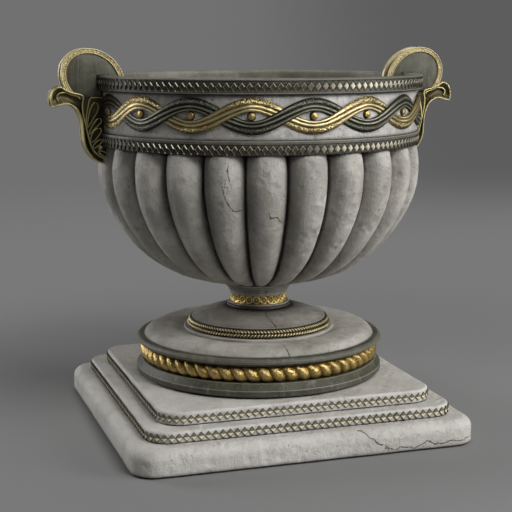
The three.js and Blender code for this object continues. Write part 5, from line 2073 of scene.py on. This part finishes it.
@dataclass
class Studio:
    """The floor, the lights and the camera."""

    floor_grey: float = 0.265
    air: float = 0.03
    lens: float = 87.6
    camera_place: Place = (-0.4796, -1.4796, 0.4737)
    camera_turn: float = -17.849
    camera_tip: float = 80.199
    camera_roll: float = -0.092
    target: Place = (0.0, 0.0, 0.25)
    lamp_reach: float = 2.4
    lamp_size: float = 1.1

    def floor(self) -> None:
        """A floor that sweeps up into a backdrop."""
        reach, start, radius, top, steps = 12000.0, 3400.0, 2600.0, 5200.0, 40
        bend = np.radians(np.linspace(0, 90, 24))[1:]
        end = start + radius
        y = np.concatenate([np.linspace(-reach, start, steps), start + radius * np.sin(bend), [end]])
        z = np.concatenate([np.zeros(steps), radius * (1 - np.cos(bend)), [top]])
        x = np.linspace(-reach, reach, 60)
        grid = np.stack(np.broadcast_arrays(x[None, :], y[:, None], z[:, None] - 0.05), axis=-1)
        thick = grid[:, ::-1] - np.array([0.0, 0.0, 40.0])
        floor = surface("studio_floor", np.concatenate([grid, thick], axis=1))
        shader = Shader("studio_floor")
        shader.finish((self.floor_grey,) * 3, 0.9)
        floor.data.materials.append(shader.material)
        self.backdrop(shader)

    def backdrop(self, shader: Shader) -> None:
        """Far from the vase the camera sees a plain grey, darker with distance and to the right.

        It is an emission that only camera and glossy rays meet, mixed in by the distance from the
        vase, so that it lights nothing and the floor near the vase keeps the shadow.
        """
        place = shader.node("ShaderNodeTexCoord", {}, {}).outputs["Object"]
        parts = shader.node("ShaderNodeSeparateXYZ", {}, {0: place}).outputs
        x, y = Value(shader, parts[0]), Value(shader, parts[1])
        away = shader.maths("POWER", x * x + y * y, 0.5)
        rays = shader.node("ShaderNodeLightPath", {}, {}).outputs
        seen = Value(shader, rays["Is Camera Ray"]).larger(Value(shader, rays["Is Glossy Ray"]))
        near_grey, far_grey, right_grey = (0.192,) * 3, (0.165, 0.165, 0.167), (0.110, 0.110, 0.112)
        colour = shader.mix(y.between(1.2, 3.0), near_grey, far_grey)
        to_right = (x - y * 0.32).between(-0.3, 0.9) * y.between(1.0, 2.8)
        colour = shader.mix(to_right, colour, right_grey)
        glow = shader.node("ShaderNodeEmission", {}, {"Color": colour, "Strength": 1.0})
        share = (away + y.between(-0.1, 0.35) * 0.6).between(0.9, 1.6) * seen
        plain = shader.surface.outputs["BSDF"]
        mixed = shader.node("ShaderNodeMixShader", {}, {0: share, 1: plain, 2: glow.outputs[0]})
        output = next(node for node in shader.tree.nodes if node.type == "OUTPUT_MATERIAL")
        shader.tree.links.new(mixed.outputs[0], output.inputs["Surface"])

    def world(self) -> None:
        """Dim air, a little brighter in reflections, which camera rays see as the backdrop's grey."""
        world = bpy.data.worlds.new("studio_air")
        world.use_nodes = True
        tree = world.node_tree
        rays = tree.nodes.new("ShaderNodeLightPath")
        below = None
        for kind, grey in (("Is Glossy Ray", 0.10), ("Is Camera Ray", 0.15)):
            mix = tree.nodes.new("ShaderNodeMix")
            mix.data_type = "RGBA"
            mix.inputs[6].default_value = (self.air, self.air, self.air, 1.0)
            mix.inputs[7].default_value = (grey, grey, grey, 1.0)
            tree.links.new(rays.outputs[kind], mix.inputs[0])
            if below is not None:
                tree.links.new(below, mix.inputs[6])
            below = mix.outputs[2]
        tree.links.new(below, tree.nodes["Background"].inputs["Color"])
        bpy.context.scene.world = world

    def lamp(self, name: str, azimuth: float, elevation: float, power: float) -> None:
        """Hangs a soft square lamp that looks at the vase.

        Args:
            name: The lamp's name.
            azimuth: Its direction from the vase in degrees, 0 for the front and growing towards +X.
            elevation: Its height over the horizon in degrees.
            power: Its power in watts.
        """
        turn, rise = math.radians(azimuth), math.radians(elevation)
        level = math.cos(rise)
        way = Vector((math.sin(turn) * level, -math.cos(turn) * level, math.sin(rise)))
        data = bpy.data.lights.new(name, "AREA")
        data.shape = "SQUARE"
        data.size = self.lamp_size
        data.energy = power
        lamp = bpy.data.objects.new(name, data)
        lamp.location = Vector(self.target) + way * self.lamp_reach
        lamp.rotation_euler = (-way).to_track_quat("-Z", "Y").to_euler()
        lamp.visible_camera = False
        bpy.context.scene.collection.objects.link(lamp)

    def camera(self) -> None:
        """Sets the camera where the photograph was taken from."""
        data = bpy.data.cameras.new("camera")
        data.lens = self.lens
        data.sensor_width = 36.0
        data.clip_end = 60.0
        camera = bpy.data.objects.new("camera", data)
        turn = Matrix.Rotation(math.radians(self.camera_turn), 4, "Z")
        tip = Matrix.Rotation(math.radians(self.camera_tip), 4, "X")
        roll = Matrix.Rotation(math.radians(self.camera_roll), 4, "Z")
        camera.matrix_world = Matrix.Translation(self.camera_place) @ turn @ tip @ roll
        bpy.context.scene.collection.objects.link(camera)
        bpy.context.scene.camera = camera

    def build(self) -> None:
        """Sets up floor, light and camera."""
        self.floor()
        self.camera()
        self.lamp("key_lamp", 56, 14, 25.0)
        self.lamp("high_lamp", 20, 40, 32.0)
        self.lamp("left_lamp", -130, 15, 24.0)
        self.lamp("back_lamp", 170, 62, 6.0)
        self.world()
        bpy.context.scene.view_settings.view_transform = "Standard"


def main() -> None:
    """Builds the vase and its studio in order."""
    logging.basicConfig(level=logging.INFO, format="%(name)s %(message)s")
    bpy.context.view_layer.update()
    Studio().build()
    handles = [Handle(side) for side in Side]
    for assembly in (Plinth(), Foot(), Stem(), Bowl(), Interlace(), *handles, Hardware()):
        LOG.info("building %s", type(assembly).__name__)
        assembly.build()


if __name__ == "__main__":
    main()
